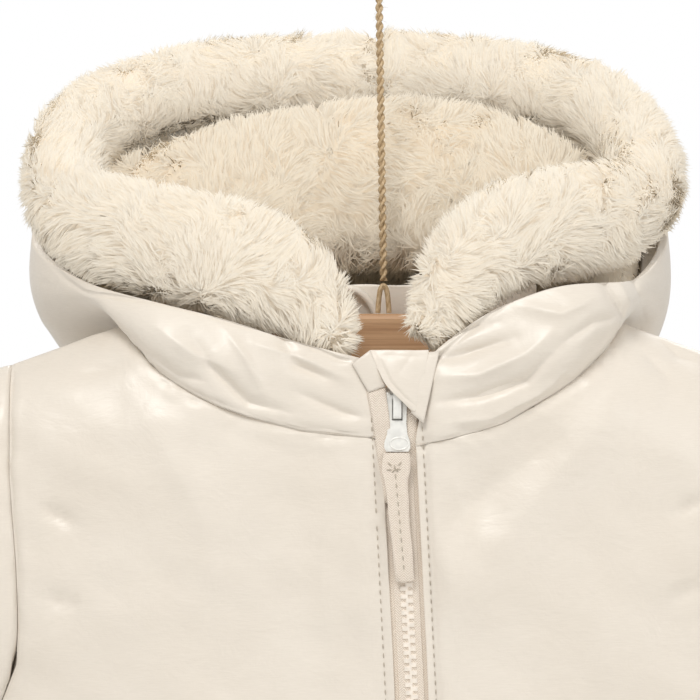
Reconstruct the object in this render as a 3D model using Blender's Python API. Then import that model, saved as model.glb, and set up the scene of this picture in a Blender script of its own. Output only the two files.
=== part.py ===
"""A toddler's padded, hooded coat on a flat wooden hanger that hangs from a twine.

Every table is in millimetres from the neck point N, the middle of the neck opening at
shoulder height: +X to the viewer's right, +Y to the back, +Z up. The last step of each
piece moves it by NECK, so that the origin is where the twine's loop is held.
"""

import math

import bmesh
import bpy
import numpy as np
from mathutils import Vector
from mathutils.bvhtree import BVHTree

# Driving sizes, in mm
MM = 0.001
NECK = np.array([2.4, 0.0, -149.4])  # the neck point, from the top of the twine's loop
SEAM_GAP = 0.3  # between two pieces that meet
CLOTH = 4.5  # padded cloth wall
EDGE_CLOTH = 3.4  # the same wall, pressed flat beside the zip
EDGE_PRESSED = 16.0  # how far from the zip's edge it stays pressed
EDGE_FULL = 34.0  # where it is full again
PILE_CLEAR = 0.8  # between fur and what it lies against
BODY_MIDDLE = -4.0  # x of the coat's own middle
HEM = -400.0
NECK_HALF = 95.0  # half the neck's width at the shoulder seams
SHOULDER_DROP = 0.355  # fall of the shoulder seam, per mm outwards
SHOULDER_ROUND = 45.0  # height over which the shoulder rounds over to the back
NECK_RISE = 13.0  # how far the shoulder's curve would rise to the neck's middle
SIDE_POWER = 3.2  # how boxy the flattened body is
ZIP_HALF = 6.3  # zip's middle to the folded edge of each front
TAPE_HALF = 15.0
CHAIN_HALF = 4.7
TAPE_DEPTH = (4.2, 5.2)  # behind the face of the fronts
CHAIN_DEPTH = (1.8, 5.6)
TAPE_TOP = -36.0
TAPE_SINKS = 5.0  # further back by this at its top, behind the collar
CHAIN_TOP = -38.0
ZIP_ABOVE_HEM = 6.0

# Each row is one height of the flattened body.
BODY_DEPTH = (
    # z, front depth, back depth
    (20.0, 34.0, 32.0),
    (-40.0, 36.0, 33.5),
    (-110.0, 36.5, 35.0),
    (-180.0, 39.0, 38.0),
    (-260.0, 42.0, 41.0),
    (-400.0, 41.0, 41.0),
)
# The armhole's seam, and below it the side seam: half width and half depth there.
SIDE = (
    # z, half width, half depth
    (-15.6, 139.0, 0.0),
    (-22.0, 139.0, 11.0),
    (-36.0, 138.5, 20.0),
    (-60.0, 138.0, 25.0),
    (-95.0, 135.0, 27.0),
    (-125.0, 134.0, 26.0),
    (-145.0, 139.0, 22.0),
    (-160.0, 152.0, 14.0),
    (-172.0, 174.0, 0.0),
    (-260.0, 184.0, 0.0),
    (-400.0, 190.0, 0.0),
)
SLEEVE_CLEAR = 0.8  # across the armhole's seam, whose edges slant
UNDERARM_CLEAR = 1.6  # more at the underarm, where the edges twist
# The sleeves, from the armhole to the cuff, on the right side.
SLEEVE = (
    # upper x, upper z, lower x, lower z, half depth
    (139.0, -15.6, 174.0, -172.0, 27.0),
    (172.0, -28.0, 189.0, -166.0, 29.0),
    (205.0, -56.0, 201.0, -182.0, 31.0),
    (236.0, -102.0, 207.0, -212.0, 31.0),
    (256.0, -160.0, 212.0, -248.0, 28.5),
    (272.0, -226.0, 217.0, -287.0, 26.0),
    (286.0, -300.0, 221.0, -328.0, 23.0),
)
SLEEVE_RINGS = 14
SLEEVE_SETTLES = 3.0  # rings over which the armhole's shape turns into the sleeve's
SIDE_CLOSES = 16.0  # height over which the armhole narrows into the side seam
UNDERARM = -172.0  # where the armhole's seam meets the side seam
# The neckline's seam, on the front: distance from the coat's middle and height.
FRONT_NECK = (
    # from the middle, z
    (-95.0, 0.0),
    (-94.0, -5.0),
    (-81.0, -20.0),
    (-67.0, -28.0),
    (-54.0, -34.0),
    (-28.0, -41.0),
    (0.0, -43.5),
    (17.0, -47.0),
    (47.0, -39.0),
    (73.0, -24.0),
    (88.0, -10.0),
    (95.0, 0.0),
)
BACK_NECK = (
    # from the middle, z
    (-95.0, 0.0),
    (-75.0, -6.5),
    (-45.0, -11.0),
    (0.0, -14.0),
    (45.0, -11.0),
    (75.0, -6.5),
    (95.0, 0.0),
)
FRONT_NECK_MIDDLE = -43.0  # height at which the fronts' neckline meets the zip
# The zip's middle, which leans: height and x.
ZIP_LINE = ((20.0, 3.0), (-30.0, 4.1), (-142.0, 9.8), (-230.0, 11.5), (-400.0, 12.0))
# Distances from the coat's middle at which the panels' columns start, along the top.
FRONT_TOP = (18.0, 28.0, 38.0, 48.0, 58.0, 67.0, 75.0, 82.0, 88.0, 92.5, 95.0)
BACK_TOP = (0.0, 13.0, 26.0, 39.0, 51.0, 63.0, 74.0, 82.0, 88.0, 92.5, 95.0)
SHOULDER_TOP = (102.0, 110.0, 118.0, 125.0, 131.0, 135.5, 138.0, 139.0)
PANEL_ROWS = 20
ROW_CROWDING = 1.9  # more rows near the top, where the cloth turns over

# Large soft folds of the fronts: from and to (x, z), their half width and height.
FOLDS = (
    # x0, z0, x1, z1, half width, height
    (66.0, -30.0, 24.0, -76.0, 9.0, -1.6),
    (80.0, -44.0, 40.0, -96.0, 10.0, 1.4),
    (98.0, -10.0, 108.0, -16.0, 5.0, -1.2),
    (-84.0, -4.0, -60.0, -11.0, 5.0, 1.4),
    (-57.0, -6.0, -40.0, -27.0, 4.5, -1.8),
    (-40.0, -27.0, -26.0, -33.0, 4.5, -1.6),
    (20.0, -35.0, 36.0, -31.0, 5.0, 1.4),
    (36.0, -31.0, 58.0, -12.0, 6.0, 1.8),
    (30.0, -12.0, 52.0, -1.0, 5.0, -1.8),
    (-128.0, -60.0, -112.0, -74.0, 7.0, -1.2),
    (-130.0, -105.0, -116.0, -112.0, 7.0, -1.2),
    (122.0, -60.0, 104.0, -74.0, 7.0, -1.2),
    (124.0, -108.0, 108.0, -116.0, 7.0, -1.2),
    (-150.0, -190.0, -90.0, -230.0, 16.0, -2.5),
    (146.0, -185.0, 88.0, -236.0, 16.0, -2.5),
    (-120.0, -300.0, -60.0, -330.0, 18.0, 2.2),
    (116.0, -290.0, 58.0, -318.0, 18.0, 2.2),
)

# The hood's shell, in sections from the zip round to the middle of the back. Each goes
# from the neckline's seam to the rim as one Bezier: where it is on the seam, how it
# leaves the seam, how it arrives at the rim, and the rim itself.
HOOD_LEFT = (
    # side, on the seam, leaves, arrives, rim
    ("front", 8.0, (0, -2, 9), (0, -2, -9), (-3, -34, -15)),
    ("front", 28.0, (0, -5, 10), (0, -6, -10), (-35, -35, -7)),
    ("front", 58.0, (-2, -8, 11), (0, -8, -10), (-60, -34, 1)),
    ("front", 82.0, (-5, -9, 9), (-1, -8, -8), (-88, -28, 8)),
    ("front", 95.0, (-8, -6, 5), (-3, -3, -7), (-113, -9, 15)),
    ("back", 88.0, (-30, 9, 0), (-7, 12, -30), (-137, 18, 28)),
    ("back", 74.0, (-34, 18, -50), (-12, 22, -54), (-136, 44, 46)),
    ("back", 51.0, (-8, 12, -85), (-16, 28, -76), (-121, 69, 73)),
    ("back", 26.0, (0, 11, -98), (-8, 21, -128), (-80, 87, 84)),
    ("back", 0.0, (0, 11, -102), (0, 14, -152), (-4, 94, 93)),
)
HOOD_RIGHT = (
    # side, on the seam, leaves, arrives, rim
    ("front", 17.0, (1, -2, 11), (-1, -2, -10), (16, -34, -12)),
    ("front", 28.0, (1, -5, 12), (0, -6, -11), (35, -35, 2)),
    ("front", 58.0, (2, -8, 13), (0, -9, -12), (62, -34, 13)),
    ("front", 82.0, (3, -9, 11), (1, -8, -10), (82, -28, 15)),
    ("front", 95.0, (5, -6, 6), (3, -3, -8), (97, -9, 17)),
    ("back", 88.0, (22, 9, 0), (6, 12, -30), (110, 18, 29)),
    ("back", 74.0, (28, 18, -50), (10, 22, -54), (110, 44, 49)),
    ("back", 51.0, (10, 12, -85), (16, 28, -76), (98, 69, 71)),
    ("back", 26.0, (2, 11, -98), (8, 21, -128), (64, 87, 82)),
    ("back", 0.0, (0, 11, -102), (0, 14, -152), (-4, 94, 93)),
)
HOOD_ROWS = 13
HOOD_CROWDING = 1.35  # more rows near the neckline's seam
HOOD_CLOTH = 3.6
NECK_POINT_LIFT = 0.7  # the hood's seam over the end of the shoulder seam
HOOD_CLEAR = 1.5  # between the hood and the body that it lies on
SHOULDER_TOP_DEPTH = 9.0  # this near the middle plane, the hood lies on the shoulder seam
CLEARING_PASSES = 4
FAR_OFF = 0.03  # metres: nothing further than this is looked at
RAY = Vector((0.37, 0.61, 0.7)).normalized()  # any direction that no face runs along
RAY_START = 1e-6
NORMAL_PASSES = 3  # how far a wall's direction is evened out, for sharp turns

# The fur along the hood's rim: its middle, half width across and half depth.
FUR_LEFT = (
    # x, y, z, half width, half depth
    (-13.0, -30.0, -9.0, 5.5, 5.0),
    (-20.0, -28.0, -1.0, 11.0, 8.0),
    (-34.0, -26.0, 14.0, 20.0, 11.0),
    (-57.0, -24.0, 23.0, 24.0, 12.5),
    (-83.0, -18.0, 30.0, 23.0, 13.0),
    (-112.0, -5.0, 38.0, 21.5, 12.5),
    (-124.0, 14.0, 50.0, 18.5, 13.5),
    (-124.0, 36.0, 70.0, 18.0, 13.5),
    (-112.0, 52.0, 82.0, 18.5, 13.5),
    (-93.0, 63.0, 91.0, 18.5, 13.5),
    (-64.0, 72.0, 97.0, 19.0, 13.0),
    (-32.0, 76.5, 99.0, 19.0, 12.5),
    (-2.0, 78.0, 100.0, 19.0, 12.5),
)
FUR_RIGHT = (
    # x, y, z, half width, half depth
    (14.0, -30.0, -8.0, 7.0, 5.0),
    (23.0, -28.0, 8.0, 15.5, 9.0),
    (33.0, -26.0, 24.0, 19.0, 11.0),
    (50.0, -22.0, 35.0, 20.5, 12.5),
    (70.0, -14.0, 41.0, 20.0, 13.0),
    (91.0, -3.0, 44.0, 20.0, 13.0),
    (101.0, 13.0, 53.0, 18.0, 13.5),
    (100.0, 35.0, 67.0, 17.0, 13.5),
    (93.0, 52.0, 80.0, 17.5, 13.5),
    (78.0, 63.0, 90.0, 18.0, 13.5),
    (55.0, 71.0, 96.0, 18.5, 13.0),
    (28.0, 76.5, 99.0, 19.0, 12.5),
    (-2.0, 78.0, 100.0, 19.0, 12.5),
)
FUR_SECTIONS = 27
FUR_SIDES = 14

# The hood's fur behind the neck, doubled over on itself: its section at the middle, and
# how that changes across: its top, its share of depth and how far its lower leg hangs.
NECK_FUR_SECTION = (
    # y, z
    (18, 20),
    (11, 32),
    (12, 55),
    (21, 76),
    (36, 86),
    (50, 80),
    (58, 58),
    (61, 10),
    (62, -40),
    (57, -50),
    (52, -40),
    (49, -6),
    (45, 11),
    (31, 18),
)
NECK_FUR_TOP = 86.0
NECK_FUR_KNEE = 13.0  # above it the section follows the top, below it the leg
NECK_FUR_MIDDLE = 38.0
NECK_FUR = (
    # x, top, share of the depth, share of the leg
    (-101.0, 54.0, 0.3, 0.05),
    (-97.0, 61.0, 0.6, 0.2),
    (-86.0, 70.0, 0.84, 0.5),
    (-60.0, 82.0, 1.0, 0.85),
    (-33.0, 86.0, 1.0, 1.0),
    (-4.0, 91.0, 1.0, 1.0),
    (20.0, 90.0, 1.0, 1.0),
    (42.0, 86.0, 1.0, 0.9),
    (62.0, 79.0, 0.92, 0.7),
    (74.0, 72.0, 0.7, 0.4),
    (80.0, 66.0, 0.36, 0.1),
)
NECK_FUR_SECTIONS = 19
LINING_NEAR = 5.0  # the rear fur, from the shell's outer face
LINING_LEAST = 7.0
LINING_STATIONS = 6  # of the hood, counted from the middle of the back
LINING_FROM = 7  # row of the hood from which it starts
LINING_DEEP = 17.0

# The facing that shows inside the back of the neck: height, y at the middle.
FACING = ((15.0, 15.2), (6.0, 16.6), (-6.0, 19.8), (-18.0, 23.2), (-30.0, 25.9))
FACING_HALF = 62.0
FACING_CURVE = 9.0  # how far its ends come forward
FACING_CLOTH = 1.6
HANG_LOOP_THICK = 3.2
HANG_LOOP = (
    # x, y, z
    (-23, 13.6, 7),
    (-20, 13.0, 12),
    (-13, 13.0, 13.2),
    (-8, 13.4, 10.5),
    (-4, 14.4, 4.5),
    (-2.5, 16.4, -4),
)

# The hanger: half its length, its thickness, and its outline from the middle outwards.
HANGER_THICK = 12.0
HANGER_EDGE = 2.0  # its rounded edges
BEVEL_ABOVE = 50.0  # degrees: the corners that are rounded
HANGER_OUTLINE = (
    # distance from the middle, top, bottom
    (0.0, 3.4, -36.0),
    (30.0, 3.2, -35.0),
    (60.0, 0.0, -30.0),
    (85.0, -6.0, -27.0),
    (100.0, -8.1, -28.5),
    (115.0, -13.9, -31.5),
    (124.0, -18.0, -33.0),
    (129.0, -23.0, -31.0),
)

# The twine: two legs out of the wood join, and one cord runs up to the knot of its loop.
TWINE_THICK = 3.0
TWINE_LEG_THICK = 2.0
TWINE_LEGS = (
    # x, y, z
    (-2.8, 0.0, 3.7),
    (-2.5, 0.0, 8.0),
    (-1.9, 0.0, 12.4),
    (-0.65, 0.0, 14.3),
    (0.6, 0.0, 12.4),
    (1.2, 0.0, 8.0),
    (1.5, 0.0, 3.7),
)
TWINE_FROM = (-0.6, 0.0, 16.0)
TWINE_TO = (-2.4, 0.0, 131.0)
TWINE_POINTS = 24
KNOT_RADIUS = 3.4
KNOT_SIDES = 12
LOOP_RADIUS = 5.5  # to the middle of the twine
LOOP_SECTIONS = 24
CORD_SIDES = 8

# The slider and its pull, whose hinge is the bar under the slider's bridge: half widths
# from the zip's middle at that height, depths as y, heights as z.
SLIDER_X = 4.2
SLIDER_HALF = 4.6
SLIDER_BODY = ((-34.6, -29.4), (-37.7, -24.5))
SLIDER_EDGE = 0.8
BRIDGE_HALF = 1.5
BRIDGE_OUTLINE = (
    # y, z
    (-34.0, -25.6),
    (-37.3, -25.6),
    (-37.9, -26.4),
    (-37.9, -35.4),
    (-37.3, -36.2),
    (-34.0, -36.2),
    (-34.0, -34.9),
    (-36.6, -34.9),
    (-36.6, -27.1),
    (-34.0, -27.1),
)
HINGE = (-35.7, -28.1)
PULL_THICK = 1.2
PULL_OUTLINE = (
    # half width, z
    (3.0, -27.5),
    (4.3, -27.0),
    (4.6, -28.3),
    (4.2, -29.8),
    (3.6, -31.5),
    (3.4, -38.0),
    (3.8, -42.0),
    (4.8, -45.0),
    (4.9, -47.0),
    (4.2, -48.6),
)
PULL_WINDOW = (2.0, -28.8, -36.9)  # half width, top, bottom
PULL_TAPE_DEPTH = (-38.0, -36.5)
PULL_TAPE = (
    # z, middle x, half width
    (-48.9, 4.0, 5.0),
    (-52.0, 3.9, 5.4),
    (-57.0, 3.7, 5.3),
    (-60.0, 3.8, 4.0),
    (-74.0, 4.9, 3.8),
    (-86.0, 6.1, 3.8),
    (-97.6, 7.2, 3.7),
)

# The flap that covers the top of the zip: z, its two sides and how far out it stands.
GUARD_THICK = 1.1
GUARD = (
    # z, left x, right x, left y, right y
    (-10.5, -6.0, 16.0, -35.0, -36.2),
    (-16.0, -4.0, 15.2, -37.6, -37.8),
    (-23.6, -0.4, 13.6, -39.2, -38.6),
    (-29.0, 5.3, 12.2, -39.6, -38.8),
    (-33.4, 9.6, 11.6, -38.9, -38.8),
)


def smooth(rows, count):
    """count points on a smooth curve through rows, evenly spaced in row number."""
    rows = np.array(rows, float)
    ends = np.vstack([2 * rows[0] - rows[1], rows, 2 * rows[-1] - rows[-2]])
    at = np.linspace(0, len(rows) - 1, count) if np.isscalar(count) else np.asarray(count, float)
    i = np.clip(at.astype(int), 0, len(rows) - 2)
    f = (at - i)[:, None]
    a, b, c, d = ends[i], ends[i + 1], ends[i + 2], ends[i + 3]
    return 0.5 * (2 * b + (c - a) * f + (2 * a - 5 * b + 4 * c - d) * f**2 + (3 * b - a - 3 * c + d) * f**3)


def between(table, key, column):
    """A table's column at key, its first column being sorted either way."""
    table = np.array(table, float)
    order = np.argsort(table[:, 0])
    return np.interp(key, table[order, 0], table[order, column])


def make(name, points, faces, paint):
    """One closed solid in metres from the origin, its faces turned outwards."""
    mesh = bpy.data.meshes.new(name)
    mesh.from_pydata(((np.asarray(points) + NECK) * MM).tolist(), [], faces)
    turned = bmesh.new()
    turned.from_mesh(mesh)
    bmesh.ops.recalc_face_normals(turned, faces=turned.faces)
    if turned.calc_volume(signed=True) < 0:
        bmesh.ops.reverse_faces(turned, faces=turned.faces)
    turned.to_mesh(mesh)
    turned.free()
    mesh.shade_smooth()
    mesh.materials.append(paint)
    piece = bpy.data.objects.new(name, mesh)
    bpy.context.collection.objects.link(piece)
    return piece


def paint(name, colour, roughness, metallic=0.0):
    material = bpy.data.materials.new(name)
    material.use_nodes = True
    surface = material.node_tree.nodes["Principled BSDF"]
    surface.inputs["Base Color"].default_value = (*colour, 1.0)
    surface.inputs["Roughness"].default_value = roughness
    surface.inputs["Metallic"].default_value = metallic
    return material


def quads(rows, columns, start=0, closed=False):
    """The faces of a grid of points, in reading order."""
    last = columns if closed else columns - 1
    return [
        (
            start + r * columns + c,
            start + r * columns + (c + 1) % columns,
            start + (r + 1) * columns + (c + 1) % columns,
            start + (r + 1) * columns + c,
        )
        for r in range(rows - 1)
        for c in range(last)
    ]


def panel(name, outer, inner, material):
    """A cloth wall between two grids of the same shape."""
    rows, columns = outer.shape[:2]
    size = rows * columns
    border = (
        list(range(columns))
        + [r * columns + columns - 1 for r in range(1, rows)]
        + [(rows - 1) * columns + c for c in range(columns - 2, -1, -1)]
        + [r * columns for r in range(rows - 2, 0, -1)]
    )
    rim = [(a, b, b + size, a + size) for a, b in zip(border, border[1:] + border[:1], strict=True)]
    points = np.vstack([outer.reshape(-1, 3), inner.reshape(-1, 3)])
    return make(name, points, quads(rows, columns) + quads(rows, columns, size) + rim, material)


def tube(name, outer, inner, material):
    """An open tube of cloth between two stacks of rings."""
    rings, sides = outer.shape[:2]
    size = rings * sides
    ends = [
        (r * sides + c, r * sides + (c + 1) % sides, size + r * sides + (c + 1) % sides, size + r * sides + c)
        for r in (0, rings - 1)
        for c in range(sides)
    ]
    points = np.vstack([outer.reshape(-1, 3), inner.reshape(-1, 3)])
    return make(name, points, quads(rings, sides, 0, True) + quads(rings, sides, size, True) + ends, material)


def roll(name, rings, material):
    """A closed round body through a stack of rings."""
    count, sides = rings.shape[:2]
    points = np.vstack([rings.reshape(-1, 3), rings[0].mean(0), rings[-1].mean(0)])
    first, last = count * sides, count * sides + 1
    caps = [((c + 1) % sides, c, first) for c in range(sides)]
    top = (count - 1) * sides
    caps += [(top + c, top + (c + 1) % sides, last) for c in range(sides)]
    return make(name, points, quads(count, sides, 0, True) + caps, material)


def offset(grid, distance):
    """A grid moved along its own normals, by a number or by one for each point."""
    along, across = np.gradient(grid, axis=0), np.gradient(grid, axis=1)
    normal = np.cross(along, across)
    for _ in range(NORMAL_PASSES):
        normal /= np.maximum(np.linalg.norm(normal, axis=2, keepdims=True), 1e-9)
        around = np.concatenate([normal[:1], normal, normal[-1:]])
        normal = around[:-2] + 2 * around[1:-1] + around[2:]
    normal /= np.maximum(np.linalg.norm(normal, axis=2, keepdims=True), 1e-9)
    return grid + normal * (distance if np.isscalar(distance) else np.asarray(distance)[..., None])


def inset_rings(rings, distance):
    """Rings moved inwards in their own planes."""
    ahead = np.roll(rings, -1, axis=1) - np.roll(rings, 1, axis=1)
    middle = rings.mean(axis=1, keepdims=True)
    spokes = rings - middle
    plane = np.cross(spokes, np.roll(spokes, -1, axis=1)).sum(axis=1, keepdims=True)
    inward = np.cross(plane, ahead)
    inward /= np.maximum(np.linalg.norm(inward, axis=2, keepdims=True), 1e-9)
    inward *= -np.sign((inward * spokes).sum(axis=2).mean(axis=1))[:, None, None]
    return rings + inward * distance


def within(tree, here):
    """Whether a point is inside a closed solid: a ray from it leaves an odd number of times."""
    hits, place = 0, here
    while place is not None:
        place = tree.ray_cast(place + RAY * RAY_START, RAY)[0]
        hits += place is not None
    return hits % 2 == 1


def kept_clear(points, pieces, gap):
    """Points moved out of the pieces they lie against, to gap from each."""
    shape = points.shape
    moved = points.reshape(-1, 3).copy()
    trees = []
    for piece in pieces:
        mesh = piece.data
        faces = [tuple(face.vertices) for face in mesh.polygons]
        trees.append(BVHTree.FromPolygons([corner.co for corner in mesh.vertices], faces))
    for _ in range(CLEARING_PASSES):
        for tree in trees:
            for i, point in enumerate(moved):
                here = Vector(((point + NECK) * MM).tolist())
                place, normal, _, far = tree.find_nearest(here, FAR_OFF)
                if place is None:
                    continue
                if within(tree, here):
                    here = place + normal * gap * MM
                elif far < gap * MM:
                    here = place + (here - place).normalized() * gap * MM
                moved[i] = np.array(here) / MM - NECK
    return moved.reshape(shape)


def shoulder(u):
    """Height of the shoulder's top line, continued across the neck."""
    u = np.abs(u)
    across = NECK_RISE * (1 - (u / NECK_HALF) ** 2)
    return np.where(u < NECK_HALF, across, -SHOULDER_DROP * (u - NECK_HALF))


def relief(x, z):
    """The large folds of the fronts, as height over the plain cloth."""
    total = np.zeros(np.broadcast(x, z).shape)
    for x0, z0, x1, z1, width, height in FOLDS:
        run = np.array([x1 - x0, z1 - z0])
        along = np.clip(((x - x0) * run[0] + (z - z0) * run[1]) / (run @ run), 0, 1)
        away = np.hypot(x - x0 - along * run[0], z - z0 - along * run[1])
        total += height * np.exp(-0.5 * (away / width) ** 2)
    from_zip = np.abs(x - between(ZIP_LINE, z, 1))
    return total * np.clip((from_zip - EDGE_PRESSED) / (EDGE_FULL - EDGE_PRESSED), 0, 1)


def side_closing(z):
    """1 along the side seam, where front and back meet, and 0 up the armhole."""
    return np.clip((UNDERARM + SIDE_CLOSES - z) / SIDE_CLOSES, 0, 1)


def body_depth(u, z, column, thick=0.0, rounding=True):
    """Distance of the body's wall from its middle plane, at u from its middle and z."""
    depth = between(BODY_DEPTH, z, column) - thick
    fall = shoulder(u) - thick * rounding - z
    over = np.sqrt(np.clip(1 - (1 - np.clip(fall / SHOULDER_ROUND, 0, 1)) ** 2, 0, 1))
    width, edge = between(SIDE, z, 1), between(SIDE, z, 2)
    width = width - thick * side_closing(z)
    edge = np.minimum(np.maximum(edge - thick, 0), depth * over)
    flat = np.clip(1 - (np.abs(u) / width) ** SIDE_POWER, 0, 1) ** 0.5
    return edge + (depth * over - edge) * flat


def panel_grids(tops, way, neck, column, edge):
    """Outer and inner grids of a body panel on one side, way being -1 or 1."""
    outer, inner = [], []
    half_gap = SEAM_GAP / 2
    for top_u in tops:
        u_top = way * top_u
        z_top = between(neck, u_top, 1) if top_u < NECK_HALF else float(shoulder(u_top))
        side_top, edge_top = float(between(SIDE, z_top, 1)), edge(z_top, way)
        share = (top_u - edge_top) / (side_top - edge_top)
        share = min(max(share, 0.0), 1.0)
        z = z_top + (HEM - z_top) * np.linspace(0, 1, PANEL_ROWS) ** ROW_CROWDING
        z[np.abs(z - UNDERARM).argmin()] = UNDERARM
        z = np.sort(np.append(z, UNDERARM + SIDE_CLOSES))[::-1]
        sides, edges = between(SIDE, z, 1), np.array([edge(v, way) for v in z])
        u = way * (edges + (sides - edges) * share)
        x = BODY_MIDDLE + u
        from_edge = np.abs(u) - edges
        thick = CLOTH
        if column == 1:
            full = np.clip((from_edge - EDGE_PRESSED) / (EDGE_FULL - EDGE_PRESSED), 0, 1)
            thick = EDGE_CLOTH + (CLOTH - EDGE_CLOTH) * full
        front = -1.0 if column == 1 else 1.0
        fold = relief(x, z) * (column == 1)
        y_out = np.maximum(body_depth(u, z, column), half_gap) + fold
        y_out[0] = max(y_out[0], half_gap)
        z_in, u_in = z.copy(), u.copy()
        on_shoulder = top_u >= NECK_HALF
        if on_shoulder:
            z_in = z - thick * np.clip(1 - (z_top - z) / SHOULDER_ROUND, 0, 1)
        at_side = share > 0.999
        shrink = side_closing(z) * thick
        u_in = way * (edges + (sides - shrink - edges) * share)
        y_in = np.maximum(body_depth(u_in, z_in, column, thick) + fold, half_gap)
        if not on_shoulder:
            y_in = np.maximum(y_in, y_out - 1.3 * thick)
        if at_side:
            y_out = np.where(between(SIDE, z, 2) < 0.5, half_gap, y_out)
            y_in = np.where(between(SIDE, z, 2) < 0.5, half_gap, y_in)
        y_in = np.minimum(y_in, np.maximum(y_out - 0.6 * (y_out > half_gap + 1), half_gap))
        outer.append(np.stack([x, front * y_out, z], axis=1))
        inner.append(np.stack([BODY_MIDDLE + u_in, front * y_in, z_in], axis=1))
    return np.array(outer), np.array(inner)


def front_edge(z, way):
    """Distance of a front's folded edge from the coat's middle."""
    return way * (float(between(ZIP_LINE, z, 1)) - BODY_MIDDLE) + ZIP_HALF


def back_middle(z, way):
    return 0.0


def build_body(cloth):
    pieces, armholes = {}, {}
    for name, way in (("front_left", -1), ("front_right", 1)):
        start = front_edge(FRONT_NECK_MIDDLE, way)
        tops = [start] + [u for u in FRONT_TOP if u > start + 4] + list(SHOULDER_TOP)
        outer, inner = panel_grids(tops, way, FRONT_NECK, 1, front_edge)
        pieces[name] = panel(name, outer, inner, cloth)
        armholes[way] = [(outer[-1], inner[-1])]
    left = panel_grids(BACK_TOP + SHOULDER_TOP, -1, BACK_NECK, 2, back_middle)
    right = panel_grids(BACK_TOP + SHOULDER_TOP, 1, BACK_NECK, 2, back_middle)
    outer, inner = (np.concatenate([a[::-1], b[1:]]) for a, b in zip(left, right, strict=True))
    pieces["back"] = panel("back", outer, inner, cloth)
    armholes[-1].append((outer[0], inner[0]))
    armholes[1].append((outer[-1], inner[-1]))
    return pieces, armholes


def armhole_ring(edges, layer, place, shift):
    """The armhole's edge as a ring on the right side, from the shoulder down the front."""
    (front, back) = ((edge[layer] - shift) * place for edge in edges)
    front, back = front[front[:, 2] >= UNDERARM], back[back[:, 2] >= UNDERARM]
    front[0, 1] = front[-1, 1] = 0.0
    return np.concatenate([front, back[-2:0:-1]])


def build_sleeves(cloth, pieces, armholes):
    """A sleeve from each armhole down to an open cuff."""
    stations = smooth(SLEEVE, SLEEVE_RINGS)
    for name, way in (("sleeve_left", -1), ("sleeve_right", 1)):
        place = np.array([way, 1, 1])
        shift = np.array([BODY_MIDDLE, 0, 0])
        first, first_inner = (armhole_ring(armholes[way], layer, place, shift) for layer in (0, 1))
        turn = np.linspace(0, 2 * math.pi, len(first), endpoint=False)
        rings = []
        for k, (xo, zo, xi, zi, depth) in enumerate(stations):
            middle = np.array([(xo + xi) / 2, 0, (zo + zi) / 2])
            reach = np.array([(xo - xi) / 2, 0, (zo - zi) / 2])
            ring = middle + np.cos(turn)[:, None] * reach
            ring[:, 1] = -depth * np.sin(turn)
            blend = min(k / SLEEVE_SETTLES, 1.0)
            rings.append(first * (1 - blend) + ring * blend)
        rings = np.array(rings)
        inner = inset_rings(rings, CLOTH)
        inner[0] = first_inner
        for layer in (rings, inner):
            extra = UNDERARM_CLEAR * side_closing(layer[0, :, 2])
            layer[:, :, 0] += SLEEVE_CLEAR
            layer[0] += np.stack([extra, 0 * extra, extra], axis=1)
        rings, inner = rings * place + shift, inner * place + shift
        pieces[name] = tube(name, rings, inner, cloth)


def hood_grid(table, way):
    """The outer surface of one half of the hood's shell."""
    start = front_edge(FRONT_NECK_MIDDLE, way)
    stops = [("front", start)] + [("front", u) for u in FRONT_TOP if u > start + 4]
    stops += [("back", u) for u in BACK_TOP[-2::-1]]
    keys = [(side, u) for side, u, *_ in table]

    def order(side, u):
        return u if side == "front" else 2 * NECK_HALF - u

    key_at = [order(side, max(u, start) if side == "front" else u) for side, u in keys]
    along = np.interp([order(*stop) for stop in stops], key_at, range(len(keys)))
    sections = smooth([(*leave, *arrive, *rim) for _, _, leave, arrive, rim in table], along)
    v = np.linspace(0, 1, HOOD_ROWS)[:, None] ** HOOD_CROWDING
    grid = []
    for (side, u), row in zip(stops, sections, strict=True):
        leave, arrive, rim = row[:3], row[3:6], row[6:]
        neck = FRONT_NECK if side == "front" else BACK_NECK
        z = float(between(neck, way * u, 1))
        y = -float(body_depth(way * u, z, 1)) if side == "front" else float(body_depth(way * u, z, 2))
        if u == NECK_HALF:
            y, z = 0.0, z + NECK_POINT_LIFT
        if side == "back":
            y += 4 * SEAM_GAP
        seam = np.array([BODY_MIDDLE + way * u, y, z + SEAM_GAP])
        if side == "front":
            seam[1] -= relief(seam[0], z)
        curve = (1 - v) ** 3 * seam + 3 * v * (1 - v) ** 2 * (seam + leave)
        curve += 3 * v**2 * (1 - v) * (rim + arrive) + v**3 * rim
        if side == "front":
            more = relief(curve[:, 0], curve[:, 2]) - relief(seam[0], z)
            curve[:, 1] -= more * np.sin(v[:, 0] * math.pi / 2)
        grid.append(curve)
    return np.array(grid)


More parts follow.
